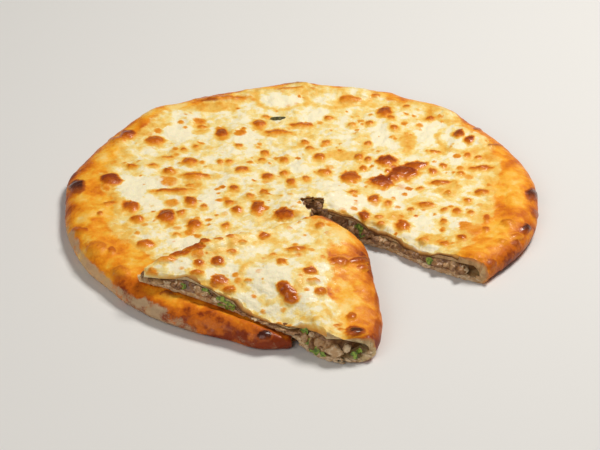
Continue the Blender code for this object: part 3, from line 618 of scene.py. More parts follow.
class Bread:
    """Layers of one piece of bread, worked out at any place by its angle and distance from the cut tip.

    Each random field of a bread takes the bread's seed plus a number of its own.
    """

    def place(self, angle, q):
        """Ground position of a point at distance q from the tip."""
        cos, sin = turned(angle)
        return self.tip[0] + q * cos, self.tip[1] + q * sin

    def rim_factor(self, inset):
        """Quarter ellipse from 0 at the outline to 1 at the crest of the rim."""
        t = np.clip((RIM_CREST_INSET - inset) / RIM_CREST_INSET, 0.0, 1.0)
        return np.sqrt(1.0 - t**2)

    def layers(self, angle, q):
        """Heights of every layer at a place: each is the bottom plus a share of the total thickness."""
        x, y = self.place(angle, q)
        inset = self.reach(angle) - q
        bottom = self.bottom(x, y)
        factor = self.rim_factor(inset)
        middle = bottom + RIM_WIDEST
        smooth_top = self.pressed(x, y, middle + (self.base(x, y) - middle) * factor)
        uneven_top = middle + (self.base(x, y) + lumps(x, y, self.bubbles) - middle) * factor
        uneven_top = np.maximum(self.pressed(x, y, uneven_top), smooth_top)
        gaps = 3.0 * CLEARANCE + FILLING_LEAST
        layers = CHEESE_LAYER + TOP_LAYER + BOTTOM_LAYER
        share = np.clip((smooth_top - bottom - gaps) / layers, LEAST_SHARE, 1.0)
        cheese_under = smooth_top - CHEESE_LAYER * share - self.curtain(x, y)
        dough_top = cheese_under - CLEARANCE
        thinning = self.rim_thinning * np.clip((self.cheese_inset - inset) / THINNING_OVER, 0.0, 1.0)
        ceiling = dough_top - (TOP_LAYER - thinning) * share
        floor = bottom + BOTTOM_LAYER * share
        t = np.clip((self.rim_wall + POCKET_NOSE - inset) / POCKET_NOSE, 0.0, 1.0)
        nose = np.sqrt(1.0 - t**2)
        centre = (floor + ceiling) / 2.0
        return {
            "bottom": bottom,
            "middle": middle,
            "uneven_top": uneven_top,
            "cheese_under": cheese_under,
            "dough_top": dough_top,
            "ceiling": centre + (ceiling - centre) * nose,
            "floor": centre - (centre - floor) * nose,
        }

    def curtain(self, x, y):
        """How much thicker than its layer the cheese is: not at all on the round."""
        return 0.0

    def pressed(self, x, y, height):
        """A height as it is under a load: the same where nothing lies on the bread."""
        return height

    def from_cuts(self, angle, q):
        """Distance from the nearer of the two cuts."""
        first = q * np.radians(angle - self.span[0])
        last = q * np.radians(self.span[1] - angle)
        return np.minimum(first, last)

    def torn_tip(self, angle, key):
        """Distance from the tip at which a layer ends, uneven along the tear."""
        along = np.stack([angle / TORN_SPACING, np.zeros_like(angle), np.zeros_like(angle)], -1)
        return self.tip_cut[key] + self.tip_cut["torn"] * rough(along, 1.0, 61)

    def raw(self, angle, q, heights):
        """Points at given heights, with the ragged relief of the cuts."""
        x, y = self.place(angle, q)
        x, y = self.moved(x, y, angle, q, heights - self.bottom(x, y))
        points = np.stack(np.broadcast_arrays(x, y, heights), axis=-1)
        near_tip = RAGGED_TIP_SHARE * bump(q, RAGGED_TIP_WIDTH)
        near = np.maximum(bump(self.from_cuts(angle, q), RAGGED_WIDTH), near_tip)[..., None]
        return points + near * ragged(points, RAGGED_DOUGH, RAGGED_DOUGH_FORM)

    def unshaded_side(self, q):
        """How far the painted brown shade on the cheese's side is left off at its lower border: not at all on
        the round.
        """
        return np.zeros_like(q)

    def hang(self, angle, q):
        """How far the cheese has run over a cut: none in places, and none away from it.

        The two cuts read the random field far apart, so that they differ.
        """
        along = np.stack([q, 50.0 * (angle > 0.0) + np.zeros_like(q), np.zeros_like(q)], -1)
        flow = np.clip(0.35 + 0.9 * rough(along, HANG_SPACING, 63), 0.0, 1.2)
        before_rim = smooth_step((self.reach(angle) - HANG_INSET - q) / HANG_FADE)
        return flow * before_rim * bump(self.from_cuts(angle, q), HANG_WIDTH)

    def outward(self, angle):
        """Level direction out of the nearer cut."""
        first = angle < (self.span[0] + self.span[1]) / 2.0
        cos, sin = turned(np.where(first, self.span[0] - 90.0, self.span[1] + 90.0))
        return np.stack([cos, sin, np.zeros_like(cos)], -1)


class Round(Bread):
    """The round, cut tip near its middle and the wedge gap at the front right."""

    tip = CUT_TIP
    bubbles = ROUND_BUBBLES
    span = (RIGHT_CUT, LEFT_CUT)
    tip_cut = ROUND_TIP
    rim_wall = ROUND_RIM_WALL
    rim_thinning = 0.0
    cheese_inset = CHEESE_INSET
    crust_width = (ROUND_CRUST_AT, ROUND_CRUST)
    baking = (ROUND_CRUST_AT, ROUND_ROAST)
    spots = ROUND_SPOTS
    scorches_and_shadow = ROUND_SCORCHES_AND_SHADOW
    pale = ROUND_PALE
    gold = ROUND_GOLD
    columns = ROUND_COLUMNS
    seed = 100
    torn_thin = 2.0
    tongue = 0.0
    warmth = 1.0
    spot_depth = 1.0

    def reach(self, angle):
        """Distance from the tip to the outline, where a ray meets the circle of the local radius."""
        cos, sin = turned(angle)
        along = self.tip[0] * cos + self.tip[1] * sin
        squared = self.tip[0] ** 2 + self.tip[1] ** 2
        distance = np.full_like(cos, ROUND_RADIUS)
        for _ in range(REACH_ROUNDS):
            x, y = self.place(angle, distance)
            radius = outline_radius(np.degrees(np.arctan2(y, x)))
            distance = np.sqrt(radius**2 - squared + along**2) - along
        return distance

    def bottom(self, x, y):
        """The round lies flat."""
        return np.zeros_like(x)

    def base(self, x, y):
        """Broad height of the top: a slight dome, a raised rim, a lifted tip and a dip at the right cut."""
        from_middle = np.hypot(x, y)
        from_tip = np.hypot(x - self.tip[0], y - self.tip[1])
        from_dip = np.hypot(x - DIP_PLACE[0], y - DIP_PLACE[1])
        from_crest = ROUND_RADIUS - RIM_CREST_INSET - from_middle
        height = MIDDLE_HEIGHT + CENTRE_RISE * bump(from_middle, CENTRE_WIDTH)
        height = height + RIM_RISE * bump(from_crest, RIM_RISE_WIDTH)
        height = height + TIP_LIFT * bump(from_tip, TIP_LIFT_WIDTH)
        return height - DIP_DEPTH * bump(from_dip, DIP_WIDTH)

    def pressed(self, x, y, height):
        """Lowers the top where the slice lies on it, most at the corner by the left cut."""
        share = smooth_step((SLICE.inside(x, y) + PRESS_MARGIN) / PRESS_MARGIN)
        from_corner = np.hypot(x - CORNER_PLACE[0], y - CORNER_PLACE[1])
        limit = SLICE.bottom(x, y) - SLICE_GAP - CORNER_SAG * bump(from_corner, CORNER_WIDTH)
        return height - share * np.maximum(height - limit, 0.0)

    def moved(self, x, y, angle, q, up):
        """Ground position at a height above the bottom: the right cut is uneven and leans back."""
        from_cut = q * np.radians(angle - RIGHT_CUT)
        lean = CUT_LEAN * smooth_step(q / LEAN_START) * smooth_step(up / LEAN_HEIGHT)
        push = (through(q, RIGHT_CUT_AT, RIGHT_CUT_PUSH) - lean) * np.exp(-from_cut / HOLLOW_DEPTH)
        cos, sin = turned(RIGHT_CUT - 90.0)
        return x + push * cos, y + push * sin

    def filling_inset(self, angle, q):
        """How far inside the outline the filling ends: further in beside the right cut."""
        from_cut = q * np.radians(angle - RIGHT_CUT)
        return FILLING_INSET + HOLLOW_LENGTH * bump(from_cut, HOLLOW_DEPTH)


class Slice(Bread):
    """The slice, its tip on the round's left front and its rim bent down to the table."""

    tip = SLICE_TIP
    bubbles = SLICE_BUBBLES
    span = (SLICE_FRONT, SLICE_BACK)
    tip_cut = SLICE_TIP_CUT
    rim_wall = SLICE_RIM_WALL
    rim_thinning = SLICE_RIM_THINNING
    cheese_inset = SLICE_CHEESE_INSET
    crust_width = (SLICE_CRUST_AT, SLICE_CRUST)
    baking = (SLICE_CRUST_AT, SLICE_ROAST)
    spots = SLICE_SPOTS
    scorches_and_shadow = SLICE_SCORCHES
    pale = SLICE_PALE
    gold = SLICE_GOLD
    columns = SLICE_COLUMNS
    seed = 200
    torn_thin = 0.5
    tongue = 2.2
    warmth = 0.72
    spot_depth = 0.9

    def reach(self, angle):
        """Distance from the tip to the rim: a curve through the measured ones."""
        return through(angle, SLICE_RIM_ANGLES, SLICE_RIM_REACH)

    def polar(self, x, y):
        """Distance from the slice's tip and angle about it."""
        angle = np.degrees(np.arctan2(y - self.tip[1], x - self.tip[0]))
        return np.hypot(x - self.tip[0], y - self.tip[1]), angle

    def from_front(self, x, y):
        """Distance along the front cut and distance behind it."""
        q, angle = self.polar(x, y)
        cos, sin = turned(angle - SLICE_FRONT)
        return q * cos, q * sin

    def inside(self, x, y):
        """Distance inside the slice's outline, negative outside it."""
        q, angle = self.polar(x, y)
        from_front = q * np.sin(np.radians(np.clip(angle - SLICE_FRONT, -90.0, 90.0)))
        from_back = q * np.sin(np.radians(np.clip(SLICE_BACK - angle, -90.0, 90.0)))
        return np.minimum(np.minimum(from_front, from_back), self.reach(angle) - q)

    def bed(self, x, y):
        """Underside away from the front cut: level on the round, then down past the round's left cut.

        The drop grows towards the front, where it reaches the table, and is steeper there.
        """
        q, _ = self.polar(x, y)
        cos, sin = turned(LEFT_CUT + 90.0)
        past_cut = np.maximum((x - CUT_TIP[0]) * cos + (y - CUT_TIP[1]) * sin, 0.0)
        forward = np.clip((DROP_FROM - y) / DROP_OVER, 0.0, 1.0)
        eased = 1.0 - bump(past_cut, DROP_EASE - DROP_EASE_LOSS * forward)
        drop = (DROP_LEAST + DROP_MOST * forward**DROP_POWER) * eased
        return SLICE_BED + SLICE_TIP_RISE * bump(q, SLICE_TIP_RISE_WIDTH) - drop

    def bottom(self, x, y):
        """The bed, blended into the height of the front cut's lower edge."""
        along, behind = self.from_front(x, y)
        share = bump(np.maximum(behind, 0.0), FRONT_BLEND)
        edge = through(along, FRONT_BOTTOM_AT, FRONT_BOTTOM)
        return np.maximum(self.bed(x, y) * (1.0 - share) + edge * share, FRONT_BOTTOM[-1])

    def base(self, x, y):
        """Even thickness with a ridge along the back cut, blended into the front cut's upper edge."""
        along, behind = self.from_front(x, y)
        q, angle = self.polar(x, y)
        from_back = q * np.sin(np.radians(SLICE_BACK - angle))
        ridge = BACK_RIDGE * bump(from_back - RIDGE_INSET, RIDGE_WIDTH) * bump(q - RIDGE_AT, RIDGE_LENGTH)
        share = bump(np.maximum(behind, 0.0), FRONT_BLEND)
        edge = through(along, FRONT_TOP_AT, FRONT_TOP)
        return (self.bed(x, y) + SLICE_THICKNESS + ridge) * (1.0 - share) + edge * share

    def curtain(self, x, y):
        """Cheese that hangs down over the front cut in one place, and is thick at the tip."""
        along, behind = self.from_front(x, y)
        hanging = CURTAIN_DEPTH * bump(along - CURTAIN_AT, CURTAIN_WIDTH)
        thick = TIP_CHEESE * bump(along, TIP_CHEESE_WIDTH)
        return (hanging + thick) * bump(behind, CURTAIN_REACH)

    def unshaded_side(self, q):
        """The cheese's side is left without painted shade at the tip, and where the cheese hangs over the
        front cut.
        """
        return np.maximum(0.95 * bump(q, SIDE_PALE), 0.85 * bump(q - CURTAIN_AT, CURTAIN_WIDTH + 2.0))

    def moved(self, x, y, angle, q, up):
        """Ground position at a height above the bottom.

        The front cut leans back and turns back near the rim, and the tip is drawn out.
        """
        along, behind = self.from_front(x, y)
        near = np.exp(-np.maximum(behind, 0.0) / HOLLOW_DEPTH)
        start, full = FRONT_REACH_AT
        reach = FRONT_REACH * smooth_step((along - start) / (full - start)) * near
        lean = CUT_LEAN * smooth_step(along / LEAN_START) * smooth_step(up / LEAN_HEIGHT)
        back = (lean - through(along, FRONT_CUT_AT, FRONT_CUT_PUSH)) * near
        cos, sin = turned(SLICE_FRONT)
        x = x + reach * cos - back * sin
        y = y + reach * sin + back * cos
        return x - TIP_REACH * bump(q, TIP_REACH_WIDTH), y

    def filling_inset(self, angle, q):
        """How far inside the outline the filling ends: further in beside the front cut."""
        behind = q * np.radians(angle - SLICE_FRONT)
        hollow = (HOLLOW_LENGTH + FILLING_INSET - SLICE_FILLING_INSET) * bump(behind, HOLLOW_DEPTH)
        return SLICE_FILLING_INSET + hollow


SLICE = Slice()
ROUND = Round()


def project(points):
    """Pixel column and row at which the camera sees a point."""
    cos, sin = turned(CAMERA_ELEVATION)
    x, y, z = points[..., 0], points[..., 1], points[..., 2] - AIM_HEIGHT
    depth = CAMERA_DISTANCE + y * cos - z * sin
    return AIM_PIXEL[0] + FOCAL_PIXELS * x / depth, AIM_PIXEL[1] - FOCAL_PIXELS * (y * sin + z * cos) / depth


def grid_normals(points):
    """Upward unit normals of a grid of points."""
    across = np.cross(np.gradient(points, axis=1), np.gradient(points, axis=0))
    across /= np.linalg.norm(across, axis=-1, keepdims=True) + 1e-9
    return across * np.sign(np.median(across[..., 2]))


def stamp(points, facing, spots, seed):
    """Depth of colour, halo and dome height of listed spots, each an uneven ellipse in the picture.

    A spot is held to the nearest point of the surface that faces the camera, and reaches no further
    from it than its own size. The dome is a share of the radius times 1 - distance^2.
    """
    column, row = project(points)
    uneven = 1.0 + sum(height * wander(points, size, seed + k) for k, (size, height) in enumerate(SPOT_WAVES))
    pixel = FOCAL_PIXELS / CAMERA_DISTANCE
    tone, halo, dome = (np.zeros(points.shape[:-1]) for _ in range(3))
    for x, y, width, height, depth in spots:
        y = y + SPOT_DROP
        away = np.hypot(column - x, row - y) + np.where(facing, 0.0, UNSEEN)
        anchor = points[np.unravel_index(np.argmin(away), away.shape)]
        reach = SPOT_REACH * max(width, FORESHORTENING * height) / pixel + SPOT_MARGIN
        at = np.nonzero(np.linalg.norm(points - anchor, axis=-1) < reach)
        right, down = (column[at] - x) / (width / 2.0), (row[at] - y) / (height / 2.0)
        far = np.hypot(right, down) * uneven[at]
        shifted = np.hypot(right, down + SHADE_SHIFT) * uneven[at]
        radius = min(width, FORESHORTENING * height) / (2.0 * pixel)
        edge = EDGE_SOFTNESS[0] + EDGE_SOFTNESS[1] / (1.0 + radius)
        rim = HALO_WIDTH / radius
        paler = CRESCENT * smooth_step(0.35 + 0.65 * down)
        tone[at] = np.maximum(tone[at], (depth - paler) * smooth_step((1.0 + edge / 2.0 - shifted) / edge))
        halo[at] = np.maximum(halo[at], depth * smooth_step((1.0 + rim - far) / rim))
        dome[at] = np.maximum(dome[at], min(DOME_SHARE * radius, DOME_MOST) * np.clip(1.0 - far**2, 0.0, 1.0))
    return tone, halo, dome


def skin_places(bread):
    """Angles of the columns and distances of the places of a bread's whole upper surface.

    Rows run inwards: a quarter ellipse up the outside, another up to the crest, then level to the tip.
    """
    angle = np.linspace(*bread.span, bread.columns)
    reach = bread.reach(angle)
    inset = np.concatenate([
        RIM_FOOT_INSET * (1.0 - turned(LOW_RIM_TURN)[0]),
        RIM_CREST_INSET * (1.0 - turned(HIGH_RIM_TURN)[0]),
        np.linspace(RIM_CREST_INSET, bread.cheese_inset, SHOULDER_ROWS)[1:],
    ])
    edge = reach - bread.cheese_inset
    share = np.linspace(0.0, 1.0, TOP_ROWS)[1:, None]
    q = np.concatenate([reach - inset[:, None], edge + (bread.torn_tip(angle, "top") - edge) * share])
    return angle, q


def skin_points(bread, angle, q):
    """Points of the upper surface, their height above the underside, and the cheese's thickness there.

    At the cuts the cheese is rounded down, and in places it has run over them.
    """
    at = bread.layers(angle, q)
    height = at["uneven_top"].copy()
    up = 1.0 + turned(LOW_RIM_TURN)[1][:, None]
    foot, middle = at["bottom"][:LOW_RIM_ROWS], at["middle"][:LOW_RIM_ROWS]
    height[:LOW_RIM_ROWS] = foot + (middle - foot) * up
    inside = np.arange(len(q))[:, None] > LOW_RIM_ROWS + HIGH_RIM_ROWS // 2
    angles = np.broadcast_to(angle, q.shape)
    hang = bread.hang(angles, q) * inside
    torn = bump(q - bread.torn_tip(angle, "top"), TORN_WIDTH)
    thick = at["uneven_top"] - at["cheese_under"]
    thinned = EDGE_ROUNDING * bump(bread.from_cuts(angle, q), EDGE_WIDTH) + bread.torn_thin * torn
    height = height - (np.minimum(thinned, THINNED_MOST * thick) + HANG_TOP * hang) * inside
    points = bread.raw(angle, q, height) + bread.outward(angles) * HANG_OUT * hang[..., None]
    return points, points[..., 2] - at["bottom"], thick


def speckled(bread, points):
    """Small mounds of the cheese, and the colour of the few that are browned."""
    mounds, speck = np.zeros(points.shape[:-1]), np.zeros(points.shape[:-1])
    for k, (size, share, browned) in enumerate(MOUNDS):
        mound, value = pebbles(points, size, bread.seed + 30 + k)
        mounds = mounds + size * share * mound
        chosen = smooth_step((value - 1.0 + browned) / 0.06) * smooth_step((mound - 0.08) / 0.6)
        tone = SPECK_TONE + SPECK_RANGE * wander(points, SPECK_SPACING, bread.seed + 40 + k)
        speck = np.maximum(speck, tone * chosen)
    return mounds, speck


def patches(bread, points, facing):
    """Pale and golden places of the cheese: those read from the photograph, and the bubbles."""
    pale = stamp(points, facing, bread.pale, bread.seed + 13)[1]
    golden = stamp(points, facing, bread.gold, bread.seed + 15)[1]
    for x, y, radius, _ in bread.bubbles:
        away = np.hypot(points[..., 0] - x, points[..., 1] - y) + 1.5 * rough(points, 12.0, bread.seed + 19)
        pale = np.maximum(pale, 0.9 * bump(away, BUBBLE_PALE * radius))
        golden = np.maximum(golden, 0.9 * bump(away - BUBBLE_RING * radius, BUBBLE_RING_WIDTH))
    return pale, golden


def baked_rim(bread, angle, across, points, above):
    """Share of crust, golden melt beside it, its roast, and the flour on the rim's side."""
    width = through(angle, *bread.crust_width) + CRUST_WANDER * rough(points, 16.0, bread.seed + 7)
    crust = smooth_step((width - across) / CRUST_SOFTNESS + 0.5)
    melt = 0.8 * smooth_step((width + MELT_REACH - across) / MELT_SOFTNESS)
    roast = ROAST + sum(height * rough(points, size, bread.seed + seed) for size, height, seed in ROAST_WAVES)
    roast = roast + through(angle, *bread.baking) + EDGE_ROAST * bump(across, EDGE_ROAST_WIDTH)
    left = smooth_step((FLOUR_LEFT[0] - points[..., 0]) / FLOUR_LEFT[1])
    left = left * smooth_step((FLOUR_FRONT[0] - points[..., 1]) / FLOUR_FRONT[1])
    top = RIM_WIDEST + FLOUR_HEIGHT + FLOUR_HEIGHT_MORE * left
    top = top + FLOUR_BORDER * rough(points, 7.0, bread.seed + 21)
    side = smooth_step((top - above) / FLOUR_FADE) * (across < RIM_CREST_INSET)
    uneven = FLOUR_UNEVEN * rough(points, 9.0, bread.seed + 9)
    flour = side * np.clip(FLOUR_LEAST + FLOUR_MORE * left + uneven, 0.0, 1.0)
    return crust, melt, np.maximum(roast, 0.0), flour


def skin(bread):
    """The upper surface of a bread from its foot over the rim to the tip, and its baked colours, with the
    painted shadow among the scorches.
    """
    angle, q = skin_places(bread)
    points, above, thick = skin_points(bread, angle, q)
    normals = grid_normals(points)
    cos, sin = turned(CAMERA_ELEVATION)
    facing = normals @ np.array([0.0, -cos, sin]) > 0.05
    tone, halo, dome = stamp(points, facing, bread.spots, bread.seed)
    scorch_and_shadow, scorch_and_shadow_halo, scorch_and_shadow_dome = stamp(points, facing, bread.scorches_and_shadow, bread.seed + 5)
    mounds, speck = speckled(bread, points)
    pale, golden = patches(bread, points, facing)
    across = np.broadcast_to(bread.reach(angle) - q, q.shape)
    crust, melt, roast, flour = baked_rim(bread, angle, across, points, above)
    return {
        "angle": angle,
        "q": q,
        "points": points,
        "normals": normals,
        "brown": np.maximum(tone, speck * (1.0 - 0.7 * crust)) * bread.spot_depth,
        "crust": crust,
        "scorch_and_shadow": scorch_and_shadow,
        "flour": flour,
        "halo": np.maximum.reduce([halo, 0.8 * scorch_and_shadow_halo, melt, 0.8 * golden, 1.6 * speck]) * bread.warmth,
        "pale": pale,
        "roast": roast,
        "relief": np.maximum(dome, 0.7 * scorch_and_shadow_dome) + mounds * (1.0 - 0.75 * crust),
        "thick": smooth_step(thick / CHEESE_LAYER - 0.2),
    }


def relieved(surface, seed):
    """The skin pushed out along its normals by its blisters and a fine unevenness."""
    points = surface["points"]
    cheese = 1.0 - surface["crust"]
    fine = sum(height * rough(points, size, seed + step) for size, height, step in CHEESE_WAVES)
    fine = fine * cheese * surface["thick"]
    size, height, step = SKIN_GRAIN
    fine = fine + height * wander(points, size, seed + step)
    size, height, step = CRUST_WAVES
    fine = fine + height * rough(points, size, seed + step) * (1.0 - cheese)
    return points + surface["normals"] * (surface["relief"] + fine)[..., None]


def sheet_quads(index):
    """Quads of a grid of vertex numbers."""
    return np.stack([index[:-1, :-1], index[1:, :-1], index[1:, 1:], index[:-1, 1:]], -1).reshape(-1, 4)


def side_faces(outer, inner):
    """Triangles between two borders of different lengths, as the teeth of a zip."""
    step = np.round(np.arange(len(outer)) * (len(inner) - 1) / (len(outer) - 1)).astype(int)
    first = np.stack([outer[1:], outer[:-1], inner[step[:-1]]], -1)
    moves = step[1:] > step[:-1]
    second = np.stack([outer[1:], inner[step[:-1]], inner[step[1:]]], -1)[moves]
    return np.concatenate([first, second])


def shell(outer, inner):
    """A closed body of two sheets with the same columns: its points and its outer, inner and side faces."""
    columns = outer.shape[1]
    out = np.arange(outer.shape[0] * columns).reshape(-1, columns)
    inn = out.size + np.arange(inner.shape[0] * columns).reshape(-1, columns)
    points = np.concatenate([outer.reshape(-1, 3), inner.reshape(-1, 3)])
    sides = [
        np.stack([out[0, :-1], out[0, 1:], inn[0, 1:], inn[0, :-1]], -1),
        np.stack([out[-1, 1:], out[-1, :-1], inn[-1, :-1], inn[-1, 1:]], -1),
        side_faces(out[:, 0], inn[:, 0]),
        side_faces(out[:, -1], inn[:, -1])[:, ::-1],
    ]
    return points, [sheet_quads(out)], [sheet_quads(inn)[:, ::-1], *sides]


def block(points):
    """A closed body of a block of points: the faces of its six sides, and only the points that they use."""
    index = np.arange(points[..., 0].size).reshape(points.shape[:3])
    quads = []
    for axis in range(3):
        for end in (0, -1):
            side = sheet_quads(np.take(index, end, axis=axis))
            quads.append(side[:, ::-1] if (end == 0) != (axis == 1) else side)
    used, numbers = np.unique(np.concatenate(quads), return_inverse=True)
    return points.reshape(-1, 3)[used], [numbers.reshape(-1, 4)]


def signed_volume(points, groups):
    """Six times the volume enclosed by the faces, negative where they face inwards."""
    total = 0.0
    for faces in groups:
        for k in range(1, faces.shape[1] - 1):
            a, b, c = points[faces[:, 0]], points[faces[:, k]], points[faces[:, k + 1]]
            total += np.einsum("ij,ij->", a, np.cross(b, c))
    return total


def make_piece(name, points, first, second, finishes, node, fields=None, crease=50.0):
    """One object from its points and faces; the second group of faces takes the second finish."""
    low, high = np.array(SOLID_BOUNDS) / METRES
    points = np.clip(points, low + BOX_MARGIN, high - BOX_MARGIN)
    groups = [*first, *second]
    if signed_volume(points, groups) < 0.0:
        groups = [faces[:, ::-1] for faces in groups]
    mesh = bpy.data.meshes.new(name)
    mesh.from_pydata((points * METRES).tolist(), [], [face for faces in groups for face in faces.tolist()])
    for finish in finishes:
        mesh.materials.append(finish)
    ahead = sum(len(faces) for faces in first)
    behind = sum(len(faces) for faces in second)
    mesh.polygons.foreach_set("material_index", np.repeat([0, min(1, len(finishes) - 1)], [ahead, behind]))
    for key, values in (fields or {}).items():
        layer = mesh.attributes.new(key, "FLOAT_COLOR", "POINT")
        layer.data.foreach_set("color", values.astype(np.float32).ravel())
    mesh.shade_smooth()
    mesh.set_sharp_from_angle(angle=math.radians(crease))
    made = bpy.data.objects.new(name, mesh)
    bpy.context.scene.collection.objects.link(made)
    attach(made, "root")
    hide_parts(node)
    return made


def joined(first, second):
    """Field values of two sheets, one after the other."""
    return np.concatenate([first.reshape(-1, first.shape[-1]), second.reshape(-1, second.shape[-1])])


def padded(values, count):
    """Field values for the outer points, and zeros for the rest."""
    flat = values.reshape(-1, values.shape[-1])
    return np.concatenate([flat, np.zeros((count - len(flat), flat.shape[-1]))])


def build_cheese(bread, surface, points, bake, glaze, name, node):
    """The cheese: the skin's inner rows over the sheet of its underside."""
    angle = surface["angle"]
    start = bread.reach(angle) - bread.cheese_inset
    q = start + (bread.torn_tip(angle, "top") - start) * np.linspace(0.0, 1.0, UNDER_ROWS)[:, None]
    angles = np.broadcast_to(angle, q.shape)
    hang = bread.hang(angles, q)
    under = bread.raw(angle, q, bread.layers(angle, q)["cheese_under"] - HANG_UNDER * hang)
    under = under + bread.outward(angles) * HANG_OUT * hang[..., None]
    body, top_faces, side = shell(points[RIM_ROWS:], under)
    # The last glaze channel of the cheese's underside is its unshaded share: below 1, the finish paints brown
    # shade on the cheese's side towards the filling. At the slice's tip the side is also paler and less
    # golden
    light = bread.unshaded_side(q)
    at_tip = bump(q, SIDE_PALE) * light
    under_bake = np.zeros((*q.shape, 4)) + UNDER_BAKE
    under_bake[..., 1] *= 1.0 - at_tip
    under_glaze = np.zeros((*q.shape, 4)) + UNDER_GLAZE
    under_glaze[..., 0] -= 0.8 * at_tip
    under_glaze[..., 2] = at_tip
    under_glaze[..., 3] = light
    fields = {"bake": joined(bake[RIM_ROWS:], under_bake), "glaze": joined(glaze[RIM_ROWS:], under_glaze)}
    make_piece(name, body, top_faces, side, [SKIN], node, fields)
    return q


def build_crust(bread, surface, points, bake, glaze, top_q, crumb, name, node):
    """The dough: outside, the underside, the skin's rim and the top under the cheese; inside, the pocket."""
    angle = surface["angle"]
    reach = bread.reach(angle)
    tip = bread.tip_cut["bottom"]
    share = np.linspace(0.0, 1.0, BOTTOM_ROWS)[:-1, None]
    low_q = tip + (reach - RIM_FOOT_INSET - tip) * share
    low = bread.layers(angle, low_q)
    tongue = bread.tongue * bump(low_q, TONGUE_WIDTH)[..., None] * (-1.0, 0.0, 0.0)
    groove_q = top_q.copy()
    groove_q[0] += GROOVE
    groove = bread.layers(angle, groove_q)
    outer = np.concatenate([
        bread.raw(angle, low_q, low["bottom"]) + tongue,
        points[:RIM_ROWS + 1],
        bread.raw(angle, groove_q, groove["dough_top"]),
    ])
    cos, sin = turned(np.linspace(-90.0, 90.0, RIM_ROWS + 1))
    nose_q = reach - bread.rim_wall - POCKET_NOSE * (1.0 - cos[:, None])
    nose = bread.layers(angle, nose_q)
    nose_height = np.where(sin[:, None] < 0.0, nose["floor"], nose["ceiling"])
    inner_q = tip + (nose_q[0] - tip) * share
    inner = np.concatenate([
        bread.raw(angle, inner_q, bread.layers(angle, inner_q)["floor"]) + tongue,
        bread.raw(angle, nose_q, nose_height),
        bread.raw(angle, groove_q, groove["ceiling"]),
    ])
    body, out_faces, side = shell(outer, inner)
    # Under the cheese the fields are zeros: there, hidden, the finish paints its brown side shade
    bottom, covered = np.zeros((*low_q.shape, 4)), np.zeros((*groove_q.shape, 4))
    bake = np.concatenate([bottom + BOTTOM_BAKE, bake[:RIM_ROWS + 1], covered])
    glaze = np.concatenate([bottom + BOTTOM_GLAZE, glaze[:RIM_ROWS + 1], covered])
    fields = {"bake": padded(bake, len(body)), "glaze": padded(glaze, len(body))}
    make_piece(name, body, out_faces, side, [CRUST_SKIN, crumb], node, fields)


def build_bread(bread, names, nodes, crumb):
    """Crust and cheese of one bread, cut from one skin so that they meet without a step."""
    surface = skin(bread)
    points = relieved(surface, bread.seed + 20)
    bake = np.stack([surface[key] for key in ("brown", "crust", "scorch_and_shadow", "flour")], -1)
    # The last glaze channel is the unshaded share, 1 on the skin, where no shade is painted
    glaze = np.stack([surface["halo"], surface["roast"], surface["pale"], np.ones_like(surface["halo"])], -1)
    top_q = build_cheese(bread, surface, points, bake, glaze, names[1], nodes[1])
    build_crust(bread, surface, points, bake, glaze, top_q, crumb, names[0], nodes[0])


def build_filling(bread, name, node):
    """The filling as a block of points between the pocket's floor and ceiling, rough at its cut faces.

    The points are given by their angle, their distance from the tip and their share of the way up.
    """
    angle = np.linspace(*bread.span, FILLING_COLUMNS)
    reach = bread.reach(angle)
    start = reach - bread.filling_inset(angle, reach)
    tip = np.full_like(angle, bread.tip_cut["filling"])
    q = start + (tip - start) * np.linspace(0.0, 1.0, FILLING_ROWS)[:, None]
    at = bread.layers(angle, q)
    gap = CLEARANCE + (SHOULDER_CLEARANCE - CLEARANCE) * smooth_step(1.0 - (start - q) / SHOULDER_LENGTH)
    low, high = at["floor"] + CLEARANCE, np.maximum(at["ceiling"] - gap, at["floor"] + 2.0 * CLEARANCE)
    share = np.linspace(0.0, 1.0, FILLING_LEVELS)
    height = low[..., None] + (high - low)[..., None] * share
    angles = np.broadcast_to(angle[:, None], height.shape)
    distances = np.broadcast_to(q[..., None], height.shape)
    points = bread.raw(angles, distances, height)
    near = bump(bread.from_cuts(angles, distances), RAGGED_FILLING_WIDTH)[..., None]
    points = points + near * ragged(points, RAGGED_FILLING, RAGGED_FILLING_FORM)
    body, faces = block(points)
    make_piece(name, body, faces, [], [MEAT], node, crease=70.0)


def ball():
    """Points and triangles of a unit ball."""
    made = bmesh.new()
    bmesh.ops.create_icosphere(made, subdivisions=BALL_STEPS, radius=1.0)
    points = np.array([vertex.co for vertex in made.verts])
    faces = np.array([[vertex.index for vertex in face.verts] for face in made.faces])
    made.free()
    return points, faces


def on_cut(bread, side, q, share):
    """A place on a cut face, by its distance from the tip and its share of the way up.

    Returns the pocket's floor below it, the room above that, and the directions along and out of the face.
    """
    angle = np.full(len(q), bread.span[side])
    at = bread.layers(angle, q)
    low, high = at["floor"] + CLEARANCE, at["ceiling"] - CLEARANCE
    x, y = bread.place(angle, q)
    x, y = bread.moved(x, y, angle, q, low + (high - low) * share - at["bottom"])
    cos, sin = turned(bread.span[side])
    out = np.array([sin, -cos, 0.0]) * (1.0 if side == 0 else -1.0)
    return np.stack([x, y, low], -1), high - low, np.array([cos, sin, 0.0]), out


def stretches(size, draw):
    """Three half lengths for each size, each of them off by a random factor."""
    return draw.uniform(*MEAT_STRETCH, (len(size), 3)) * size[:, None]


def dented_balls(centres, stretch, along, out, draw, seed):
    """Points of uneven balls: unit balls pushed in and out by the random field, then stretched."""
    places = BALL_POINTS[None] * DENT_SPREAD + draw.uniform(0, 90, (len(centres), 1, 3))
    local = BALL_POINTS * (1.0 + DENT_DEPTH * rough(places, DENT_SIZE, seed)[..., None]) * stretch[:, None, :]
    return centres[:, None] + local[..., :1] * along + local[..., 1:2] * out + local[..., 2:] * UPWARD


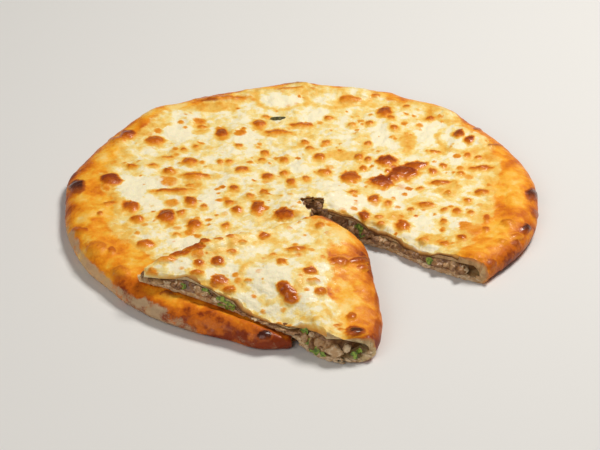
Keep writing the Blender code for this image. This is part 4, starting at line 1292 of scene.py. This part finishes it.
def face_lumps(bread, side, q, size, share, draw, seed):
    """Lumps on one cut face, each held between the pocket's floor and ceiling."""
    foot, room, along, out = on_cut(bread, side, q, share)
    stretch = stretches(size, draw)
    stretch[:, 2] = np.minimum(stretch[:, 2], room * MEAT_ROOM)
    centres = foot + out * (draw.uniform(*MEAT_OUT, len(q)) * size)[:, None]
    centres[:, 2] += stretch[:, 2] + (room - 2.0 * stretch[:, 2]) * share
    return dented_balls(centres, stretch, along, out, draw, seed)


def foot_crumbs(bread, side, q, draw, seed):
    """Crumbs of dough along the lower edge of a cut."""
    foot, _, along, out = on_cut(bread, side, q, np.zeros(len(q)))
    size = draw.uniform(*CRUMB_SIZE, len(q))
    centres = foot + out * draw.uniform(*CRUMB_OUT, len(q))[:, None]
    centres[:, 2] -= draw.uniform(*CRUMB_DROP, len(q))
    return dented_balls(centres, stretches(size, draw) * CRUMB_FORM, along, out, draw, seed)


def tip_lumps(bread, count, draw, seed):
    """Lumps on top of the filling where the torn tip bares it."""
    angle = draw.uniform(*bread.span, count)
    q = draw.uniform(bread.tip_cut["filling"], bread.tip_cut["top"] + 3.0, count)
    at = bread.layers(angle, q)
    size = draw.uniform(*TIP_MEAT_SIZE, count)
    x, y = bread.place(angle, q)
    centres = np.stack([x, y, at["ceiling"] - CLEARANCE - size * draw.uniform(0.3, 1.0, count)], -1)
    right, away = np.array([1.0, 0.0, 0.0]), np.array([0.0, 1.0, 0.0])
    return dented_balls(centres, stretches(size, draw), right, away, draw, seed)


def scatter_meat(bread, name, node, counts, named, seed):
    """Meat and crumbs on both cut faces and at the tip.

    The first cut face, the one in view, also has the lumps seen in the photograph.
    """
    draw = np.random.default_rng(seed)
    clouds, tints = [], []
    for side, count in enumerate(counts):
        edge = bread.reach(np.array([bread.span[side]]))
        last = (edge - bread.filling_inset(np.array([bread.span[side]]), edge))[0]
        first = bread.tip_cut["filling"] + 1.0
        q = first + (last - first) * draw.random(count)
        size = MEAT_LEAST + MEAT_MORE * draw.random(count) ** MEAT_POWER
        clouds.append(face_lumps(bread, side, q, size, draw.random(count), draw, seed))
        tints.append(draw.random(count))
        q = first + (edge[0] - bread.rim_wall - first) * draw.random(CRUMBS_PER_LUMP * count)
        clouds.append(foot_crumbs(bread, side, q, draw, seed))
        tints.append(draw.uniform(*CRUMB_PALE, len(q)))
    q, size, share, pale = np.array(named).T
    clouds.append(face_lumps(bread, 0, q, size, share, draw, seed))
    tints.append(pale)
    clouds.append(tip_lumps(bread, counts[0] // 3, draw, seed))
    tints.append(draw.random(counts[0] // 3) * 0.7)
    cloud = np.concatenate(clouds)
    size = len(BALL_POINTS)
    all_faces = (BALL_FACES[None] + size * np.arange(len(cloud))[:, None, None]).reshape(-1, 3)
    value = np.repeat(np.concatenate(tints), size)
    fields = {"glaze": np.stack([value, value, value, np.ones_like(value)], -1)}
    make_piece(name, cloud.reshape(-1, 3), [all_faces], [], [MEAT], node, fields, crease=180.0)


def top_leaf(bread, place, length, width, name, node):
    """A leaf lying on the cheese: x = s * cos(t) * length / 2, y = s * sin(t) * width / 2, a little above it.

    s goes from the middle to the edge and t round the leaf, whose length waves by 0.15 * sin(3 * t).
    """
    across, around = np.meshgrid(np.linspace(0.05, 1.0, 6), np.linspace(0.0, 360.0, 25), indexing="ij")
    cos, sin = turned(around)
    x = place[0] + across * cos * length / 2.0 * (1.0 + 0.15 * np.sin(3.0 * np.radians(around)))
    y = place[1] + across * sin * width / 2.0
    angle = np.degrees(np.arctan2(y - bread.tip[1], x - bread.tip[0]))
    top = bread.layers(angle, np.hypot(x - bread.tip[0], y - bread.tip[1]))["uneven_top"]
    points = np.stack([x, y, top + TOP_LEAF_LIFT - TOP_LEAF_DROOP * across**2], -1)
    body, upper, rest = shell(points, points - UPWARD * TOP_LEAF_THICKNESS)
    make_piece(name, body, [*upper, *rest], [], [DARK_HERB], node, crease=60.0)


def scatter_herbs(bread, name, node, places):
    """Thin wavy leaves on the first cut face: half width w * sqrt(1 - u^2) at u along the leaf."""
    u, v = np.meshgrid(np.linspace(-0.98, 0.98, 13), np.linspace(-1.0, 1.0, 7), indexing="ij")
    points, faces = [], []
    for number, (q, length, share, turn) in enumerate(places):
        foot, room, along, out = on_cut(bread, 0, np.array([q]), share)
        cos, sin = turned(turn)
        width = LEAF_WIDTH * length * np.sqrt(1.0 - u**2) * (1.0 + LEAF_EDGE * np.sin(5.0 * u + number))
        forward = along * cos + UPWARD * sin
        up = UPWARD * cos - along * sin
        lean = up * 0.9 - out * 0.25
        wave = LEAF_WAVE * np.sin(4.0 * u + 2.0 * v + number)
        middle = (
            foot[0] + UPWARD * room[0] * share + out * LEAF_OUT
            + forward * (u * length / 2.0)[..., None]
            + lean * (v * width)[..., None]
            + up * wave[..., None]
        )
        body, top, rest = shell(middle + up * LEAF_HALF, middle - up * LEAF_HALF)
        start = sum(len(cloud) for cloud in points)
        points.append(body)
        faces += [group + start for group in (*top, *rest)]
    make_piece(name, np.concatenate(points), faces, [], [HERB], node, crease=60.0)


class Field:
    """A number, vector or colour worked out by shader nodes, with ordinary arithmetic on it."""

    def __init__(self, paint, socket):
        self.paint = paint
        self.socket = socket

    def __add__(self, other):
        return self.paint.math("ADD", self, other)

    def __sub__(self, other):
        return self.paint.math("SUBTRACT", self, other)

    def __mul__(self, other):
        return self.paint.math("MULTIPLY", self, other)

    def __rsub__(self, other):
        return self.paint.math("SUBTRACT", other, self)

    def __pow__(self, other):
        return self.paint.math("POWER", self, other)

    __radd__ = __add__
    __rmul__ = __mul__


class Paint:
    """One material, with the few kinds of node that it needs."""

    def __init__(self, name):
        self.material = bpy.data.materials.new(name)
        self.material.use_nodes = True
        self.tree = self.material.node_tree
        self.shader = self.tree.nodes["Principled BSDF"]
        self.place = self.node("TexCoord", {}, {}, "Object")

    def node(self, kind, settings, links, output=0):
        """Adds one node; settings are its properties and links its inputs, by name or number."""
        made = self.tree.nodes.new("ShaderNode" + kind)
        for key, value in settings.items():
            setattr(made, key, value)
        for key, value in links.items():
            if isinstance(value, Field):
                self.tree.links.new(value.socket, made.inputs[key])
            else:
                made.inputs[key].default_value = value
        return Field(self, made.outputs[output])

    def math(self, operation, first, second):
        """One step of arithmetic."""
        return self.node("Math", {"operation": operation}, {0: first, 1: second})

    def noise(self, size, detail=2.0, roughness=0.5, stretch=(1.0, 1.0, 1.0)):
        """Random field from 0 to 1 with forms of the given size in millimetres."""
        scaled = self.node("Mapping", {}, {"Vector": self.place, "Scale": stretch})
        links = {"Vector": scaled, "Scale": 1.0 / (size * METRES), "Detail": detail, "Roughness": roughness}
        return self.node("TexNoise", {}, links)

    def ramp(self, value, low, high):
        """0 below low, 1 above high, smooth between."""
        links = {"Value": value, "From Min": low, "From Max": high}
        return self.node("MapRange", {"interpolation_type": "SMOOTHSTEP"}, links)

    def mix(self, share, first, second):
        """The first colour, turning into the second as the share goes from 0 to 1."""
        return self.node("Mix", {"data_type": "RGBA"}, {0: share, 6: first, 7: second}, 2)

    def layered(self, value, colour, steps):
        """Turns into the next colour at each step: low and high of the value, and the screen colour."""
        for low, high, screen in steps:
            colour = self.mix(self.ramp(value, low, high), colour, tint(*screen))
        return colour

    def channels(self, name):
        """The four channels of a point attribute."""
        attribute = self.node("Attribute", {"attribute_name": name}, {}, "Color")
        parts = self.node("SeparateColor", {}, {"Color": attribute})
        outputs = parts.socket.node.outputs
        alpha = attribute.socket.node.outputs["Alpha"]
        return [Field(self, socket) for socket in (*outputs, alpha)]

    def finish(self, colour, roughness, height, distance, coat=None, **constants):
        """Links the varying inputs, sets the constant ones and returns the material."""
        self.tree.links.new(colour.socket, self.shader.inputs["Base Color"])
        for key, value in (("Roughness", roughness), ("Coat Weight", coat)):
            if isinstance(value, Field):
                self.tree.links.new(value.socket, self.shader.inputs[key])
            elif value is not None:
                self.shader.inputs[key].default_value = value
        normal = self.node("Bump", {}, {"Height": height, "Distance": distance * METRES, "Strength": 1.0})
        self.tree.links.new(normal.socket, self.shader.inputs["Normal"])
        for key, value in constants.items():
            self.shader.inputs[key.replace("_", " ")].default_value = value
        return self.material


def tint(red, green, blue):
    """A linear colour from screen values of 0 to 255."""
    values = [channel / 255.0 for channel in (red, green, blue)]
    return (*(v / 12.92 if v <= 0.04045 else ((v + 0.055) / 1.055) ** 2.4 for v in values), 1.0)


def skin_finish(name, light):
    """Baked upper surface: cheese, golden melt, crust, browned blisters, flour and scorched places, with
    painted shade: one shadow stamped among the scorches, and the cheese's side darkened towards the filling.
    """
    paint = Paint(name)
    brown, crust, scorch_and_shadow, flour = paint.channels("bake")
    halo, roast, pale, unshaded_share = paint.channels("glaze")
    broad = paint.noise(15.0, 3.0)
    melt = paint.noise(8.0, 4.0, 0.65)
    patch = paint.noise(4.0, 4.0, 0.6)
    fine = paint.noise(1.5, 3.0, 0.6)
    grain = paint.noise(0.6, 2.0, 0.6)

    warmth = melt * 0.6 + patch * 0.25 + broad * 0.3 + halo * 0.36 - pale * 0.18
    cheese = paint.layered(warmth, tint(254, 242, 206), CHEESE_STEPS)
    crust_tone = roast - pale * 0.45 + (patch - 0.5) * 0.75 + (fine - 0.5) * 0.3
    baked = paint.layered(crust_tone, tint(255, 216, 128), CRUST_STEPS)
    edge = paint.ramp(crust + (melt - 0.5) * 0.9 + (patch - 0.5) * 0.4, 0.25, 0.8)
    colour = paint.mix(edge, cheese, baked)

    # The random fields only break up a spot that is there already
    toast = brown + (fine - 0.5) * 0.34 * paint.ramp(brown, 0.02, 0.3)
    toast = toast + (patch - 0.5) * 0.3 * paint.ramp(brown, 0.1, 0.5)
    colour = paint.layered(toast, colour, SPOT_STEPS)
    # Scorches darken to brown, then near black; on the round one of them is painted shadow, that of the
    # slice's tip on the rim
    burnt_and_shaded = scorch_and_shadow + (fine - 0.5) * 0.3 * paint.ramp(scorch_and_shadow, 0.02, 0.3)
    colour = paint.mix(paint.ramp(burnt_and_shaded, 0.05, 0.5) * 0.9, colour, tint(170, 78, 20))
    colour = paint.mix(paint.ramp(burnt_and_shaded, 0.5, 0.95), colour, tint(70, 26, 14))
    dust = paint.ramp(flour + (patch - 0.5) * 1.1 + (grain - 0.5) * 0.7, 0.3, 0.8)
    colour = paint.mix(dust * 0.8, colour, tint(202, 176, 138))

    # Painted shade: the cheese's side darkens through tan to brown towards the filling, wherever its unshaded
    # share is below 1
    colour = paint.mix(paint.ramp(unshaded_share, 1.0, 0.6) * 0.85, colour, tint(224, 160, 84))
    colour = paint.mix(paint.ramp(unshaded_share, 0.7, 0.1) * 0.9, colour, tint(108, 62, 28))

    shine = paint.ramp(paint.math("MAXIMUM", toast, burnt_and_shaded), 0.25, 0.75)
    roughness = 0.46 - 0.14 * shine + 0.38 * dust + (fine - 0.5) * 0.25
    coat = 0.08 + 0.3 * shine - 0.08 * dust
    height = melt * 0.5 + patch * 0.34 + fine * 0.12 + grain * 0.03
    constants = {"Subsurface_Weight": light, "Subsurface_Scale": 0.003, "Coat_Roughness": 0.12,
                 "Specular_IOR_Level": 0.2, "Subsurface_Radius": (1.0, 0.75, 0.45)}
    return paint.finish(colour, roughness, height, 1.4, coat, **constants)


def crumb_finish(name, pale, deep, dark):
    """Cut or torn dough: pale with pores and darker moist places, browned where it meets the crust."""
    paint = Paint(name)
    _, crust, _, flour = paint.channels("bake")
    patch = paint.noise(3.2, 4.0, 0.6)
    fine = paint.noise(0.9, 3.0, 0.6)
    colour = paint.mix(paint.ramp(patch, 0.4, 0.65), pale, deep)
    colour = paint.mix(paint.ramp(fine, 0.58, 0.75) * 0.6, colour, dark)
    browned = crust - flour * 2.4 + (fine - 0.5) * 0.3
    colour = paint.mix(paint.ramp(browned, 0.6, 1.0) * 0.8, colour, tint(206, 120, 34))
    height = patch * 0.6 + fine * 0.4
    return paint.finish(colour, 0.55, height, 0.8, 0.1, Subsurface_Weight=0.1, Subsurface_Scale=0.003)


def meat_finish(name):
    """Cooked minced meat: brown, with paler and darker crumbs."""
    paint = Paint(name)
    value = paint.channels("glaze")[0]
    patch = paint.noise(2.4, 4.0, 0.6)
    fine = paint.noise(0.7, 3.0, 0.6)
    colour = paint.mix(paint.ramp(patch, 0.32, 0.62), tint(114, 74, 40), tint(162, 116, 70))
    colour = paint.layered(value + (patch - 0.5) * 0.5, colour, MEAT_STEPS)
    colour = paint.mix(paint.ramp(fine, 0.6, 0.8) * 0.6, colour, tint(74, 48, 26))
    height = patch * 0.6 + fine * 0.4
    return paint.finish(colour, 0.42, height, 0.8, 0.3, Coat_Roughness=0.2)


def herb_finish(name, dark, light):
    """Green herb leaves."""
    paint = Paint(name)
    patch = paint.noise(1.6, 3.0)
    colour = paint.mix(paint.ramp(patch, 0.35, 0.65), dark, light)
    return paint.finish(colour, 0.5, patch, 0.3, 0.2)


SKIN = skin_finish("baked_skin", 0.12)
CRUST_SKIN = skin_finish("baked_rim", 0.05)
CRUMB = crumb_finish("crumb", tint(208, 168, 114), tint(174, 130, 80), tint(114, 74, 36))
PALE_CRUMB = crumb_finish("pale_crumb", tint(222, 194, 144), tint(190, 156, 106), tint(130, 92, 54))
MEAT = meat_finish("meat")
HERB = herb_finish("herb", tint(78, 104, 22), tint(156, 180, 60))
DARK_HERB = herb_finish("baked_herb", tint(58, 52, 20), tint(104, 96, 40))
BALL_POINTS, BALL_FACES = ball()

build_bread(ROUND, ("round_crust", "round_cheese"), ("bread_dough", "bread_cheese"), CRUMB)
build_bread(SLICE, ("slice_crust", "slice_cheese_top"), ("slice_dough", "slice_cheese"), PALE_CRUMB)
build_filling(ROUND, "round_filling", "bread_filling")
build_filling(SLICE, "slice_filling_body", "slice_filling")
scatter_meat(ROUND, "round_meat", "bread_filling", ROUND_LUMP_COUNTS, ROUND_LUMPS, 31)
scatter_meat(SLICE, "slice_meat", "slice_filling", SLICE_LUMP_COUNTS, SLICE_LUMPS, 32)
top_leaf(ROUND, TOP_LEAF, TOP_LEAF_LENGTH, TOP_LEAF_WIDTH, "round_leaf", "bread_cheese")
scatter_herbs(ROUND, "round_herbs", "bread_filling", ROUND_LEAVES)
scatter_herbs(SLICE, "slice_herbs", "slice_filling", SLICE_LEAVES)


def build_floor():
    """A plain pale floor, not part of the bread."""
    mesh = bpy.data.meshes.new("floor")
    mesh.from_pydata(FLOOR_CORNERS, [], [(0, 1, 2, 3)])
    floor = bpy.data.objects.new("floor", mesh)
    floor.location.z = -FLOOR_DROP
    made = bpy.data.materials.new("floor")
    made.use_nodes = True
    shader = made.node_tree.nodes["Principled BSDF"]
    shader.inputs["Base Color"].default_value = FLOOR_COLOUR
    shader.inputs["Roughness"].default_value = 0.7
    mesh.materials.append(made)
    bpy.context.scene.collection.objects.link(floor)


def area_light(name, place, size, power, colour):
    """A soft light that points at the bread."""
    light = bpy.data.lights.new(name, "AREA")
    light.size = size
    light.energy = power
    light.color = colour
    made = bpy.data.objects.new(name, light)
    made.location = place
    x, y, z = place
    made.rotation_euler = (math.atan2(math.hypot(x, y), z), 0.0, math.atan2(x, -y))
    bpy.context.scene.collection.objects.link(made)


def build_studio():
    """Camera, lights and surroundings."""
    for light in LIGHTS:
        area_light(*light)
    world = bpy.data.worlds.new("studio")
    world.use_nodes = True
    background = world.node_tree.nodes["Background"]
    background.inputs["Color"].default_value = (1.0, 1.0, 1.0, 1.0)
    background.inputs["Strength"].default_value = SKY_STRENGTH
    scene = bpy.context.scene
    scene.world = world
    scene.view_settings.view_transform = "Standard"
    camera = bpy.data.cameras.new("camera")
    camera.sensor_width = SENSOR_WIDTH
    camera.lens = FOCAL_PIXELS * SENSOR_WIDTH / IMAGE_SIZE[0]
    made = bpy.data.objects.new("camera", camera)
    cos, sin = turned(CAMERA_ELEVATION)
    made.location = (0.0, -CAMERA_DISTANCE * cos * METRES, (AIM_HEIGHT + CAMERA_DISTANCE * sin) * METRES)
    down = math.atan((IMAGE_SIZE[1] / 2.0 - AIM_PIXEL[1]) / FOCAL_PIXELS)
    left = math.atan((AIM_PIXEL[0] - IMAGE_SIZE[0] / 2.0) / FOCAL_PIXELS)
    made.rotation_euler = (math.radians(90.0 - CAMERA_ELEVATION) - down, 0.0, left)
    scene.collection.objects.link(made)
    scene.camera = made


build_floor()
build_studio()
